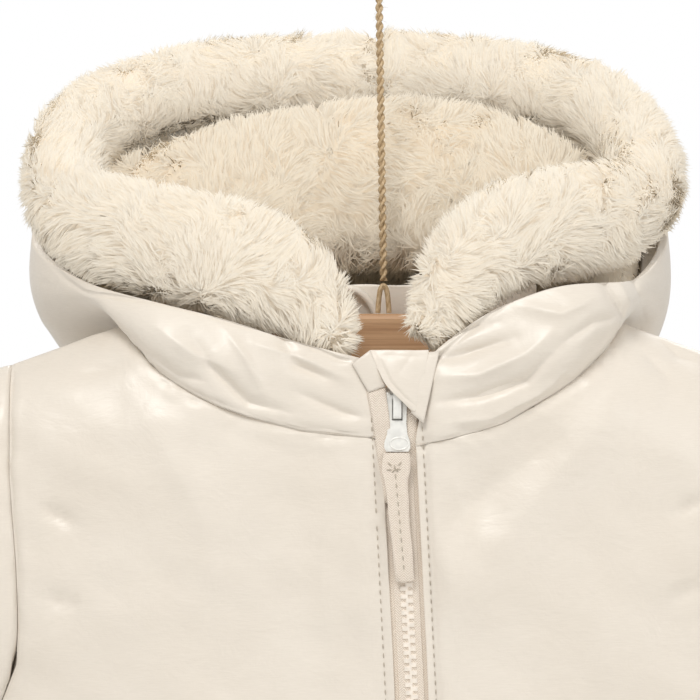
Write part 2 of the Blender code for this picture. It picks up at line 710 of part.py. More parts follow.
def build_hood(cloth, pieces):
    grids = {}
    for name, table, way in (("hood_left", HOOD_LEFT, -1), ("hood_right", HOOD_RIGHT, 1)):
        outer = hood_grid(table, way)
        outer[-1, :, 0] = BODY_MIDDLE + way * SEAM_GAP / 2
        body = [pieces["front_left"], pieces["front_right"], pieces["back"]]
        outer[:, 1:] = kept_clear(outer[:, 1:], body, HOOD_CLEAR)
        inner = offset(outer, -way * HOOD_CLOTH)
        lean = inner[:, 1] - outer[:, 1]
        inner[:, 0] = outer[:, 0] + [1, 1, 0] * lean + [0, 0, 1] * np.maximum(lean, 0)
        inner[:, 1:] = kept_clear(inner[:, 1:], body, HOOD_CLEAR)
        for layer in (outer, inner):
            over = shoulder(layer[:, :, 0] - BODY_MIDDLE) + HOOD_CLEAR
            on_top = np.abs(layer[:, :, 1]) < SHOULDER_TOP_DEPTH
            layer[:, 1:, 2] = np.where(on_top, np.maximum(layer[:, :, 2], over), layer[:, :, 2])[:, 1:]
        inner[-1, :, 0] = outer[-1, :, 0]
        grids[way] = outer
        pieces[name] = panel(name, outer, inner, cloth)
    return grids


def fur_rings(table):
    rows = smooth(table, FUR_SECTIONS)
    path = rows[:, :3]
    ahead = np.gradient(path, axis=0)
    ahead /= np.linalg.norm(ahead, axis=1, keepdims=True)
    across = np.cross(ahead, [0, 1, 0])
    across /= np.linalg.norm(across, axis=1, keepdims=True)
    deep = np.cross(across, ahead)
    turn = np.linspace(0, 2 * math.pi, FUR_SIDES, endpoint=False)[None, :, None]
    wide = across[:, None] * rows[:, 3, None, None] * np.cos(turn)
    return path[:, None] + wide + deep[:, None] * rows[:, 4, None, None] * np.sin(turn)


def build_fur(fur, pieces, grids):
    shells = [pieces["hood_left"], pieces["hood_right"]]
    for name, table, way in (("fur_edge_left", FUR_LEFT, -1), ("fur_edge_right", FUR_RIGHT, 1)):
        rings = kept_clear(fur_rings(table), shells, PILE_CLEAR)
        rings[-1, :, 0] = FUR_LEFT[-1][0] + way * SEAM_GAP / 2
        pieces[name] = roll(name, rings, fur)

    section = smooth(NECK_FUR_SECTION + NECK_FUR_SECTION[:1], 29)[:-1]
    rings = []
    for x, top, depth, leg in smooth(NECK_FUR, NECK_FUR_SECTIONS):
        y, z = section.T
        up = NECK_FUR_KNEE + (z - NECK_FUR_KNEE) * (top - NECK_FUR_KNEE) / (NECK_FUR_TOP - NECK_FUR_KNEE)
        down = NECK_FUR_KNEE + (z - NECK_FUR_KNEE) * leg
        z = np.where(z > NECK_FUR_KNEE, up, down)
        z = z if top > 70 else z + (70 - top) * 0.3
        y = NECK_FUR_MIDDLE + (y - NECK_FUR_MIDDLE) * depth
        rings.append(np.stack([np.full_like(y, x), y, z], axis=1))
    near = shells + [pieces["fur_edge_left"], pieces["fur_edge_right"]]
    pieces["fur_neck"] = roll("fur_neck", kept_clear(np.array(rings), near, PILE_CLEAR), fur)

    left, right = (grids[way][-LINING_STATIONS:, LINING_FROM:] for way in (-1, 1))
    left, right = left.copy(), right.copy()
    left[-1, :, 0] = right[-1, :, 0] = BODY_MIDDLE
    sheet = np.concatenate([left, right[-2::-1]])[:, :-1]
    growth = 0.55 + 0.45 * np.linspace(0, 1, sheet.shape[1])
    taper = np.sin(np.linspace(0.12, 1, len(sheet) // 2 + 1) * math.pi / 2)
    taper = np.concatenate([taper, taper[-2::-1]])[: len(sheet), None]
    near_face = offset(sheet, LINING_NEAR)
    deep_face = offset(sheet, LINING_LEAST + (LINING_DEEP - LINING_LEAST) * growth * taper)
    near = [pieces[n] for n in ("fur_neck", "fur_edge_left", "fur_edge_right")]
    deep_face = kept_clear(deep_face, near, PILE_CLEAR)
    pieces["fur_lining"] = panel("fur_lining", near_face, deep_face, fur)


def build_facing(cloth, pieces):
    x = np.linspace(-FACING_HALF, FACING_HALF, 13)
    rows = smooth(FACING, 9)
    comes_forward = FACING_CURVE * (x[:, None] / FACING_HALF) ** 2
    y = rows[:, 1] * (1 - comes_forward / rows[-1, 1])
    grid = np.stack(
        [np.repeat(x[:, None] + BODY_MIDDLE, len(rows), 1), y, np.repeat(rows[:, 0][None], len(x), 0)], axis=2
    )
    behind = kept_clear(grid + np.array([0, FACING_CLOTH, 0]), [pieces["back"]], 2 * SEAM_GAP)
    grid = behind - np.array([0, FACING_CLOTH, 0])
    pieces["neck_facing"] = panel("neck_facing", grid, behind, cloth)
    pieces["hang_loop"] = cord_solid("hang_loop", smooth(HANG_LOOP, 13), HANG_LOOP_THICK, cloth)


def cord_solid(name, path, thick, material):
    """A plain closed cord along a path."""
    ahead = np.gradient(path, axis=0)
    ahead /= np.linalg.norm(ahead, axis=1, keepdims=True)
    side = np.cross(ahead, [0.0, 1.0, 0.0])
    side /= np.linalg.norm(side, axis=1, keepdims=True)
    other = np.cross(ahead, side)
    turn = np.linspace(0, 2 * math.pi, CORD_SIDES, endpoint=False)[None, :, None]
    rings = path[:, None] + (side[:, None] * np.cos(turn) + other[:, None] * np.sin(turn)) * thick / 2
    return roll(name, rings, material)


def zip_strip(name, left, right, depths, top, material):
    """A strip along the zip: from left to right of its middle, at two depths behind the fronts."""
    z = top + (HEM + ZIP_ABOVE_HEM - top) * np.linspace(0, 1, PANEL_ROWS) ** ROW_CROWDING
    middle = between(ZIP_LINE, z, 1)
    face = -body_depth(middle - BODY_MIDDLE, np.minimum(z, FRONT_NECK_MIDDLE), 1)
    face += TAPE_SINKS * np.clip((z - FRONT_NECK_MIDDLE) / (TAPE_TOP - FRONT_NECK_MIDDLE), 0, 1)
    x = middle[:, None] + np.array([left, right])
    grid = np.stack([x, np.repeat(face[:, None], 2, 1), np.repeat(z[:, None], 2, 1)], axis=2)
    near, far = depths
    return panel(name, grid + [0, near, 0], grid + [0, far, 0], material)


def extruded(name, outline, low, high, material, axis):
    """A closed prism: an outline in two axes, run along the third."""
    count = len(outline)
    points = []
    for along in (low, high):
        for a, b in outline:
            points.append((along, a, b) if axis == 0 else (a, along, b))
    faces = [tuple(range(count)), tuple(range(2 * count - 1, count - 1, -1))]
    faces += [(i, (i + 1) % count, count + (i + 1) % count, count + i) for i in range(count)]
    return make(name, points, faces, material)


def joined(piece, other, operation):
    """A Boolean with another solid, which is left as a guide."""
    other.hide_render = True
    other.display_type = "WIRE"
    modifier = piece.modifiers.new(other.name, "BOOLEAN")
    modifier.operation = operation
    modifier.object = other
    modifier.solver = "EXACT"


def build_slider(metal, tape):
    (near, far), (low, high) = SLIDER_BODY
    corners = [(near + SLIDER_EDGE, low), (near, low + 2 * SLIDER_EDGE)]
    corners += [(near, high - 2 * SLIDER_EDGE), (near + SLIDER_EDGE, high)]
    corners += [(near + far - y, z) for y, z in corners[::-1]]
    slider = extruded("slider", corners, SLIDER_X - SLIDER_HALF, SLIDER_X + SLIDER_HALF, metal, 0)
    sides = (SLIDER_X - BRIDGE_HALF, SLIDER_X + BRIDGE_HALF)
    bridge = extruded("slider_bridge", BRIDGE_OUTLINE, *sides, metal, 0)
    joined(slider, bridge, "UNION")

    outline = [(SLIDER_X + x, z) for x, z in PULL_OUTLINE]
    outline += [(SLIDER_X - x, z) for x, z in PULL_OUTLINE[::-1]]
    hinge_y, _ = HINGE
    pull = extruded("pull", outline, hinge_y - PULL_THICK / 2, hinge_y + PULL_THICK / 2, metal, 1)
    half, top, bottom = PULL_WINDOW
    low, high = SLIDER_X - half, SLIDER_X + half
    opening = ((low, bottom), (high, bottom), (high, top), (low, top))
    window = extruded("pull_window", opening, hinge_y - PULL_THICK, hinge_y + PULL_THICK, metal, 1)
    joined(pull, window, "DIFFERENCE")
    right = [(x + half, z) for z, x, half in PULL_TAPE]
    left = [(x - half, z) for z, x, half in PULL_TAPE[::-1]]
    strip = extruded("pull_tape", right + left, *PULL_TAPE_DEPTH, tape, 1)
    for piece in (pull, strip):
        hang_on(piece, (SLIDER_X, *HINGE))


def hang_on(piece, pivot):
    """Puts a moving piece's origin on its hinge, its shape staying where it is."""
    place = Vector(((np.array(pivot) + NECK) * MM).tolist())
    for modifier in piece.modifiers:
        modifier.object.location -= place
        modifier.object.parent = piece
    for corner in piece.data.vertices:
        corner.co -= place
    piece.location = place


def build_guard(cloth):
    rows = smooth(GUARD, 7)
    share = np.linspace(0, 1, 6)[None, :]
    x = rows[:, 1, None] * (1 - share) + rows[:, 2, None] * share
    y = rows[:, 3, None] * (1 - share) + rows[:, 4, None] * share - 0.5 * np.sin(share * math.pi)
    z = np.repeat(rows[:, 0, None], 6, 1)
    grid = np.stack([x, y, z], axis=2)
    panel("chin_guard", grid, grid + [0, GUARD_THICK, 0], cloth)


def build_twine(twine):
    legs = smooth(TWINE_LEGS, 2 * TWINE_POINTS - 1)
    cord_solid("twine_legs", legs, TWINE_LEG_THICK, twine)
    line = bpy.data.curves.new("twine", "CURVE")
    line.dimensions = "3D"
    line.bevel_depth = TWINE_THICK / 2 * MM
    line.bevel_resolution = 2
    line.use_fill_caps = True
    spline = line.splines.new("POLY")
    spline.points.add(TWINE_POINTS - 1)
    for point, at in zip(spline.points, np.linspace(TWINE_FROM, TWINE_TO, TWINE_POINTS), strict=True):
        point.co = (*((at + NECK) * MM).tolist(), 1.0)
    line.materials.append(twine)
    bpy.context.collection.objects.link(bpy.data.objects.new("twine", line))

    middle = np.array(TWINE_TO) + [0, 0, SEAM_GAP + KNOT_RADIUS]
    around = np.linspace(0, 2 * math.pi, KNOT_SIDES, endpoint=False)
    rings = []
    for rise in np.linspace(0, math.pi, KNOT_SIDES)[1:-1]:
        flat = math.sin(rise)
        rings.append([(flat * math.cos(a), flat * math.sin(a), -math.cos(rise)) for a in around])
    roll("twine_knot", middle + np.array(rings) * KNOT_RADIUS, twine)

    radius = TWINE_THICK / 2
    centre = middle + [0, 0, KNOT_RADIUS + SEAM_GAP + radius + LOOP_RADIUS]
    points = []
    for a in np.linspace(0, 2 * math.pi, LOOP_SECTIONS, endpoint=False):
        for b in np.linspace(0, 2 * math.pi, CORD_SIDES, endpoint=False):
            out = LOOP_RADIUS + radius * math.cos(b)
            points.append(centre + [out * math.cos(a), radius * math.sin(b), out * math.sin(a)])
    wrap = [LOOP_SECTIONS * CORD_SIDES] * 4
    faces = [tuple(np.mod(face, wrap).tolist()) for face in quads(LOOP_SECTIONS + 1, CORD_SIDES, 0, True)]
    make("twine_loop", points, faces, twine)


def build_zip(tape, chain):
    inner_edge = CHAIN_HALF + SEAM_GAP
    zip_strip("zip_tape_left", -TAPE_HALF, -inner_edge, TAPE_DEPTH, TAPE_TOP, tape)
    zip_strip("zip_tape_right", inner_edge, TAPE_HALF, TAPE_DEPTH, TAPE_TOP, tape)
    zip_strip("zip_chain", -CHAIN_HALF, CHAIN_HALF, CHAIN_DEPTH, CHAIN_TOP, chain)


def build_hanger(wood):
    top = [(x, z) for x, z, _ in HANGER_OUTLINE]
    low = [(x, z) for x, _, z in HANGER_OUTLINE]
    right = top + low[::-1]
    left = [(-x, z) for x, z in low[1:] + top[:0:-1]]
    outline = [(x + BODY_MIDDLE, z) for x, z in right + left]
    piece = extruded("hanger", outline, -HANGER_THICK / 2, HANGER_THICK / 2, wood, 1)
    edge = piece.modifiers.new("edge", "BEVEL")
    edge.width = HANGER_EDGE * MM
    edge.segments = 2
    edge.limit_method = "ANGLE"
    edge.angle_limit = math.radians(BEVEL_ABOVE)


def clear_scene():
    for thing in list(bpy.data.objects):
        bpy.data.objects.remove(thing, do_unlink=True)


def main():
    clear_scene()
    cloth = paint("satin_ivory", (0.79, 0.73, 0.63), 0.42)
    fur = paint("cream_fur", (0.84, 0.76, 0.63), 0.95)
    tape = paint("zip_tape_cloth", (0.77, 0.67, 0.56), 0.8)
    chain = paint("zip_teeth_plastic", (0.78, 0.7, 0.6), 0.4)
    metal = paint("white_metal", (0.88, 0.88, 0.86), 0.3, 0.3)
    wood = paint("oak", (0.41, 0.22, 0.11), 0.55)
    pieces, armholes = build_body(cloth)
    build_sleeves(cloth, pieces, armholes)
    grids = build_hood(cloth, pieces)
    build_facing(cloth, pieces)
    build_fur(fur, pieces, grids)
    build_zip(tape, chain)
    build_slider(metal, tape)
    build_guard(cloth)
    build_hanger(wood)
    build_twine(paint("jute", (0.51, 0.37, 0.2), 0.9))


main()
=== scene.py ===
"""Looks for the hooded coat on its hanger: cloth, fur, zip, stitches, wood and twine.

Places are in millimetres from the neck point N, the middle of the neck opening at
shoulder height, as in the part's source: +X to the viewer's right, +Y to the back.
"""

import math

import bmesh
import bpy
import numpy as np
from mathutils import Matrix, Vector
from mathutils.bvhtree import BVHTree
from mathutils.kdtree import KDTree


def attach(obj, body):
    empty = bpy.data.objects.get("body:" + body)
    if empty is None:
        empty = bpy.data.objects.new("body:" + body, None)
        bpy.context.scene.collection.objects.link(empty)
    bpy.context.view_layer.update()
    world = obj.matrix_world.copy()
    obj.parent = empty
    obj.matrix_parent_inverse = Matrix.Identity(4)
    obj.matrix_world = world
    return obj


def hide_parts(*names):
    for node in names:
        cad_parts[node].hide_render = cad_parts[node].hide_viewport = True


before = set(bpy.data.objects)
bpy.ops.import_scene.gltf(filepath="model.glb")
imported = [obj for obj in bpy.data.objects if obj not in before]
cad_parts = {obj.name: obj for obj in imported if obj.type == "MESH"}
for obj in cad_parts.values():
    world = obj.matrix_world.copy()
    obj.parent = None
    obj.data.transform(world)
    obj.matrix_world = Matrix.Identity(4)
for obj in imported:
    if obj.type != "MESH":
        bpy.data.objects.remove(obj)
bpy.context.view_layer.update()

MM = 0.001
NECK = np.array([2.4, 0.0, -149.4])  # the neck point from the frame's origin, in mm
COAT = "coat"

# The camera stands level with the middle of the view, as the photograph's did.
CAMERA_AT = (-13.5, -1435.0, -10.5)
CAMERA_LENS = 192.0
CAMERA_SENSOR = 36.0

RAY_START = 150.0  # mm before or behind N, clear of the whole coat


def unit(vectors):
    return vectors / np.maximum(np.linalg.norm(vectors, axis=-1, keepdims=True), 1e-9)


def metres(points):
    return (np.asarray(points, float) + NECK) * MM


def build_camera():
    camera = bpy.data.cameras.new("camera")
    camera.lens = CAMERA_LENS
    camera.sensor_width = CAMERA_SENSOR
    camera.clip_end = 20.0
    stand = bpy.data.objects.new("camera", camera)
    stand.location = metres(CAMERA_AT).tolist()
    stand.rotation_euler = (math.radians(90), 0, 0)
    bpy.context.scene.collection.objects.link(stand)
    bpy.context.scene.camera = stand


# ---------------------------------------------------------------- materials


# Sizes of the tape's weave, in mm.
HERRINGBONE_COLUMN = 1.5
HERRINGBONE_RIB = 0.95
# Painted light: a paler satin tone that brightens pieces lying in shade at the neck.
PAINTED_LIGHT_SATIN = (0.93, 0.87, 0.78)


class Shade:
    """A Principled material whose nodes are added by short calls."""

    def __init__(self, name, colour, roughness, **values):
        self.material = bpy.data.materials.new(name)
        self.material.use_nodes = True
        self.tree = self.material.node_tree
        self.surface = self.tree.nodes["Principled BSDF"]
        self.set("Base Color", (*colour, 1.0))
        self.set("Roughness", roughness)
        for key, value in values.items():
            self.set(key.replace("_", " "), value)
        self.place = self.add("ShaderNodeTexCoord").outputs["Object"]

    def set(self, socket, value):
        self.surface.inputs[socket].default_value = value

    def add(self, kind, **settings):
        node = self.tree.nodes.new(kind)
        for key, value in settings.items():
            setattr(node, key, value)
        return node

    def link(self, out, into):
        self.tree.links.new(out, into)
        return out

    def scaled(self, scale, source=None):
        node = self.add("ShaderNodeMapping")
        node.inputs["Scale"].default_value = scale if hasattr(scale, "__len__") else (scale,) * 3
        self.link(source or self.place, node.inputs["Vector"])
        return node.outputs["Vector"]

    def noise(self, scale, detail=3.0, rough=0.5, warp=0.0):
        node = self.add("ShaderNodeTexNoise")
        node.inputs["Scale"].default_value = 1.0
        node.inputs["Detail"].default_value = detail
        node.inputs["Roughness"].default_value = rough
        node.inputs["Distortion"].default_value = warp
        self.link(self.scaled(scale), node.inputs["Vector"])
        return node.outputs["Fac"]

    def ramp(self, source, *stops):
        node = self.add("ShaderNodeValToRGB")
        ramp = node.color_ramp
        for element, (place, colour) in zip(ramp.elements, (stops[0], stops[-1]), strict=True):
            element.position = place
            element.color = (*colour, 1.0)
        for place, colour in stops[1:-1]:
            ramp.elements.new(place).color = (*colour, 1.0)
        self.link(source, node.inputs["Fac"])
        return node.outputs["Color"]

    def levels(self, source, low, high, to_low=0.0, to_high=1.0):
        node = self.add("ShaderNodeMapRange")
        sockets = ("From Min", "From Max", "To Min", "To Max")
        for key, value in zip(sockets, (low, high, to_low, to_high), strict=True):
            node.inputs[key].default_value = value
        self.link(source, node.inputs["Value"])
        return node.outputs["Result"]

    def mixed(self, factor, one, two, kind="MIX"):
        node = self.add("ShaderNodeMix", data_type="RGBA", blend_type=kind)
        sockets = (node.inputs[0], node.inputs[6], node.inputs[7])
        for socket, value in zip(sockets, (factor, one, two), strict=True):
            if isinstance(value, bpy.types.NodeSocket):
                self.link(value, socket)
            elif hasattr(value, "__len__"):
                socket.default_value = (*value, 1.0)
            else:
                socket.default_value = value
        return node.outputs[2]

    def math(self, operation, *values):
        node = self.add("ShaderNodeMath", operation=operation)
        for socket, value in zip(node.inputs, values, strict=False):
            if isinstance(value, bpy.types.NodeSocket):
                self.link(value, socket)
            else:
                socket.default_value = value
        return node.outputs[0]

    def colour(self, source):
        self.link(source, self.surface.inputs["Base Color"])

    def rough(self, source):
        self.link(source, self.surface.inputs["Roughness"])

    def bump(self, *layers):
        """Layers of (height, strength, distance in mm), one on another."""
        normal = None
        for height, strength, distance in layers:
            node = self.add("ShaderNodeBump")
            node.inputs["Strength"].default_value = strength
            node.inputs["Distance"].default_value = distance * MM
            self.link(height, node.inputs["Height"])
            if normal is not None:
                self.link(normal, node.inputs["Normal"])
            normal = node.outputs["Normal"]
        self.link(normal, self.surface.inputs["Normal"])


def satin_material(name, gain):
    """Satin with a soft slub; gain lifts it towards a paler tone, painted light for pieces in shade."""
    shade = Shade(name, (0.70, 0.635, 0.53), 0.36, Sheen_Weight=0.2, Sheen_Roughness=0.4)
    cloud = shade.noise((22, 22, 22), 3.0)
    slub = shade.noise((260, 260, 5200), 2.0, 0.6)
    weft = shade.noise((5200, 5200, 420), 2.0, 0.6)
    tone = shade.ramp(cloud, (0.3, (0.72, 0.655, 0.57)), (0.7, (0.76, 0.70, 0.62)))
    yarn = shade.ramp(slub, (0.3, (0.68, 0.61, 0.52)), (0.7, (0.81, 0.74, 0.65)))
    tone = shade.mixed(0.3, tone, yarn)
    # Painted light: gain mixes in the paler tone.
    tone = shade.mixed(gain, tone, PAINTED_LIGHT_SATIN)
    shade.colour(tone)
    shade.rough(shade.levels(shade.noise((60, 60, 60), 2.0), 0.3, 0.7, 0.29, 0.42))
    shade.bump(
        (shade.noise((55, 55, 80), 4.0, 0.55, 0.6), 0.35, 1.6),
        (slub, 0.18, 0.12),
        (weft, 0.12, 0.1),
    )
    return shade.material


def fur_material(name, roots, middles, tips):
    """Pile darker and warmer towards its roots as painted shade, with softly mottled tufts."""
    shade = Shade(name, tips, 0.85)
    tip = shade.add("ShaderNodeAttribute", attribute_name="tip").outputs["Fac"]
    # Painted shade: from the tips' colour down to the darker roots', for the shade that strands don't cast.
    tone = shade.ramp(tip, (0.0, roots), (0.4, middles), (1.0, tips))
    tuft = shade.noise((90, 90, 90), 3.0)
    paler = tuple(min(value * 1.06, 0.95) for value in tips)
    shade.colour(shade.mixed(0.25, tone, shade.ramp(tuft, (0.3, middles), (0.7, paler))))
    return shade.material


def tape_material():
    """Herringbone: slanting ribs that turn over at each column."""
    shade = Shade("zip_tape", (0.79, 0.70, 0.60), 0.8)
    split = shade.add("ShaderNodeSeparateXYZ")
    shade.link(shade.place, split.inputs[0])
    column = shade.math("PINGPONG", split.outputs["X"], HERRINGBONE_COLUMN * MM)
    slant = shade.math("ADD", split.outputs["Z"], column)
    turns = 2 * math.pi / (HERRINGBONE_RIB * MM)
    ribs = shade.math("SINE", shade.math("MULTIPLY", slant, turns), 0.0)
    height = shade.levels(ribs, -1.0, 1.0)
    weave = shade.noise(1400, 2.0)
    tone = shade.ramp(height, (0.1, (0.64, 0.53, 0.43)), (0.8, (0.86, 0.78, 0.68)))
    yarn = shade.ramp(weave, (0.3, (0.68, 0.58, 0.48)), (0.7, (0.86, 0.78, 0.69)))
    shade.colour(shade.mixed(0.3, tone, yarn))
    shade.bump((height, 0.6, 0.25), (weave, 0.2, 0.1))
    return shade.material


def plain(name, colour, roughness, grain=200.0, depth=0.1, **values):
    """A material with a little mottling and grain."""
    shade = Shade(name, colour, roughness, **values)
    spots = shade.noise((grain,) * 3, 3.0)
    dark, light = (tuple(min(channel * k, 1.0) for channel in colour) for k in (0.9, 1.07))
    shade.colour(shade.ramp(spots, (0.3, dark), (0.7, light)))
    shade.bump((shade.noise((grain * 4,) * 3, 3.0), 0.25, depth))
    return shade.material


def wood_material():
    shade = Shade("oak", (0.42, 0.25, 0.13), 0.5)
    grain = shade.noise((18, 60, 900), 5.0, 0.65, 0.3)
    bands = shade.noise((9, 40, 260), 3.0, 0.5, 1.2)
    dark, middle, light = (0.36, 0.19, 0.09), (0.58, 0.34, 0.18), (0.68, 0.43, 0.25)
    tone = shade.ramp(grain, (0.3, dark), (0.52, middle), (0.72, light))
    rings = shade.ramp(bands, (0.35, (0.45, 0.24, 0.12)), (0.65, (0.66, 0.42, 0.24)))
    shade.colour(shade.mixed(0.4, tone, rings))
    shade.bump((grain, 0.4, 0.25))
    return shade.material


def jute_material():
    shade = Shade("jute", (0.50, 0.36, 0.21), 0.85)
    fibre = shade.noise((1500, 1500, 500), 3.0)
    shade.colour(shade.ramp(fibre, (0.3, (0.36, 0.24, 0.12)), (0.7, (0.64, 0.49, 0.31))))
    shade.bump((fibre, 0.6, 0.3))
    return shade.material


# ---------------------------------------------------------------- geometry

KEPT_CORNER = math.radians(50)  # edges that turn more than this stay creased


def new_piece(name, points, faces, material, body=COAT, smooth=True):
    mesh = bpy.data.meshes.new(name)
    mesh.from_pydata(metres(points).tolist(), [], faces)
    mesh.materials.append(material)
    if smooth:
        mesh.shade_smooth()
    piece = bpy.data.objects.new(name, mesh)
    bpy.context.scene.collection.objects.link(piece)
    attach(piece, body)
    return piece


def quads(rows, columns, start=0, closed=False):
    last = columns if closed else columns - 1
    return [
        (
            start + r * columns + c,
            start + r * columns + (c + 1) % columns,
            start + (r + 1) * columns + (c + 1) % columns,
            start + (r + 1) * columns + c,
        )
        for r in range(rows - 1)
        for c in range(last)
    ]


def copied(node, name, levels, crease=0.55):
    """A welded, subdivided copy of a node, as a piece of its own."""
    form = bmesh.new()
    form.from_mesh(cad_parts[node].data)
    bmesh.ops.remove_doubles(form, verts=form.verts, dist=1e-6)
    bmesh.ops.join_triangles(
        form, faces=form.faces, angle_face_threshold=math.pi, angle_shape_threshold=math.pi
    )
    sharp = form.edges.layers.float.new("crease_edge")
    for edge in form.edges:
        if len(edge.link_faces) == 2 and edge.calc_face_angle(0) > KEPT_CORNER:
            edge[sharp] = crease
    mesh = bpy.data.meshes.new(name)
    form.to_mesh(mesh)
    form.free()
    piece = bpy.data.objects.new(name, mesh)
    bpy.context.scene.collection.objects.link(piece)
    finer = piece.modifiers.new("finer", "SUBSURF")
    finer.levels = finer.render_levels = levels
    settle(piece)
    return piece


def settle(piece):
    """Applies a piece's modifiers to its mesh."""
    graph = bpy.context.evaluated_depsgraph_get()
    mesh = bpy.data.meshes.new_from_object(piece.evaluated_get(graph))
    piece.modifiers.clear()
    piece.data = mesh


def read(piece):
    """A piece's points in mm from N, and its normals."""
    count = len(piece.data.vertices)
    points, normals = np.zeros(count * 3), np.zeros(count * 3)
    piece.data.vertices.foreach_get("co", points)
    piece.data.vertices.foreach_get("normal", normals)
    return points.reshape(-1, 3) / MM - NECK, normals.reshape(-1, 3)


def write(piece, points):
    piece.data.vertices.foreach_set("co", metres(points).ravel())
    piece.data.update()


def cover(piece, material):
    """Gives a piece one material and smooth shading."""
    piece.data.materials.clear()
    piece.data.materials.append(material)
    piece.data.shade_smooth()


def paint(node, material):
    """Gives a CAD node that stays in view its material."""
    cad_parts[node].data.materials.clear()
    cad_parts[node].data.materials.append(material)


def waves(points, size, seed, count=14):
    """Smooth seeded noise about 0, of about unit height, from waves of about that size."""
    rng = np.random.default_rng(seed)
    total = np.zeros(len(points))
    for _ in range(count):
        direction = rng.normal(size=3)
        direction /= np.linalg.norm(direction)
        length = size * rng.uniform(0.7, 1.8)
        total += np.sin(points @ direction * 2 * math.pi / length + rng.uniform(0, 2 * math.pi))
    return total / math.sqrt(count / 2)


def ridge(away, middle, spread, height):
    """Height of a ridge, or of a valley where it is below 0, by the distance from something."""
    return height * np.exp(-(((away - middle) / spread) ** 2))


def crease(points, line, width, height, sharp=1.4):
    """Height of one crease along a line of (x, z), as it lies on a panel seen from the front."""
    flat = points[:, [0, 2]]
    line = np.array(line, float)
    best = np.full(len(points), np.inf)
    along = np.zeros(len(points))
    for k, (start, end) in enumerate(zip(line[:-1], line[1:], strict=True)):
        run = end - start
        share = np.clip((flat - start) @ run / (run @ run), 0, 1)
        away = np.linalg.norm(flat - start - share[:, None] * run, axis=1)
        along = np.where(away < best, (k + share) / (len(line) - 1), along)
        best = np.minimum(best, away)
    fade = np.sin(math.pi * np.clip(along, 0.04, 0.96)) ** 0.6
    return height * fade * np.exp(-((best / width) ** sharp))


def tree_of(*pieces):
    """A search tree over pieces' faces, in mm from N."""
    points, faces = [], []
    for piece in pieces:
        start = len(points)
        points += read(piece)[0].tolist()
        faces += [[start + v for v in face.vertices] for face in piece.data.polygons]
    return BVHTree.FromPolygons(points, faces)


def nearest(tree, points, reach=40.0):
    """For each point, the nearest place of a tree and how far it is."""
    places, away = np.array(points), np.full(len(points), reach)
    for k, point in enumerate(points):
        hit = tree.find_nearest(Vector(point), reach)
        if hit[0] is not None:
            places[k], away[k] = hit[0], hit[3]
    return places, away


def depth_at(tree, x, z, way=-1):
    """The y of what shows at (x, z) from the front (-1) or behind (1), or None."""
    place = tree.ray_cast(Vector((x, way * RAY_START, z)), Vector((0, -way, 0)))[0]
    return None if place is None else place.y


def lying(tree, line, step, way):
    """Points along a line of (x, z), laid on the cloth as seen from the front (-1) or behind (1)."""
    line = np.array(line, float)
    run = np.concatenate([[0], np.cumsum(np.linalg.norm(np.diff(line, axis=0), axis=1))])
    laid = []
    for at in np.arange(0, run[-1], step):
        x, z = np.interp(at, run, line[:, 0]), np.interp(at, run, line[:, 1])
        y = depth_at(tree, x, z, way)
        if y is not None:
            laid.append((x, y, z))
    return np.array(laid)


def spokes(side, other, sides):
    """Unit steps from each point of a path to the ring round it."""
    ring = np.linspace(0, 2 * math.pi, sides, endpoint=False)
    return side[:, None] * np.cos(ring)[:, None] + other[:, None] * np.sin(ring)[:, None]


def capped(rows, sides, start=0):
    """Faces over rings, with one more at each end."""
    last = start + (rows - 1) * sides
    ends = [tuple(start + k for k in range(sides))[::-1], tuple(last + k for k in range(sides))]
    return quads(rows, sides, start, True) + ends


def tube(path, thick, sides=5):
    """Rings round a path, which taper at both ends."""
    path = np.asarray(path, float)
    ahead = unit(np.gradient(path, axis=0))
    side = unit(np.cross(ahead, [0.0, 1.0, 0.02]))
    other = np.cross(ahead, side)
    wide = thick / 2 * np.sin(np.linspace(0.35, math.pi - 0.35, len(path)))[:, None, None]
    rings = path[:, None] + wide * spokes(side, other, sides)
    return rings.reshape(-1, 3), capped(len(path), sides)


def joined(parts):
    """The points and faces of several parts as one."""
    points, faces, start = [], [], 0
    for part_points, part_faces in parts:
        points.append(part_points)
        faces += [tuple(start + v for v in face) for face in part_faces]
        start += len(part_points)
    return np.concatenate(points), faces


# ---------------------------------------------------------------- cloth

# Creases on the front of the coat: a line of (x, z), its width and its height.
FRONT_CREASES = (
    (((70, -40), (40, -62), (20, -80)), 8.0, -1.6),
    (((84, -34), (56, -66), (34, -92)), 7.0, 1.0),
    (((-95, -28), (-70, -70), (-62, -110)), 9.0, 1.1),
    (((24, -52), (30, -80), (26, -120)), 5.0, 0.9),
    (((-18, -52), (-24, -90), (-20, -130)), 5.0, 0.9),
    (((104, -6), (112, -13), (120, -15)), 2.4, -1.5),
    (((98, -12), (108, -22)), 2.4, -1.3),
    (((-116, -20), (-98, -16)), 2.6, -1.3),
    (((-130, -70), (-116, -76)), 2.6, -1.5),
    (((-129, -104), (-114, -106)), 2.6, -1.4),
    (((122, -66), (108, -72)), 2.6, -1.5),
    (((122, -98), (106, -104)), 2.6, -1.3),
    (((-150, -180), (-110, -205), (-70, -214)), 6.0, -1.8),
    (((146, -178), (108, -204), (70, -216)), 6.0, -1.8),
    (((-170, -250), (-120, -262)), 7.0, -1.3),
    (((160, -250), (112, -266)), 7.0, -1.3),
)
BACK_CREASES = (
    (((-70, -30), (-50, -80), (-46, -130)), 9.0, 1.2),
    (((60, -34), (44, -84), (42, -140)), 9.0, 1.2),
    (((-128, -60), (-100, -84)), 4.0, -1.5),
    (((120, -62), (96, -88)), 4.0, -1.5),
    (((-150, -180), (-96, -214)), 6.0, -1.8),
    (((146, -178), (92, -212)), 6.0, -1.8),
    (((-60, -290), (30, -300)), 9.0, -1.2),
)
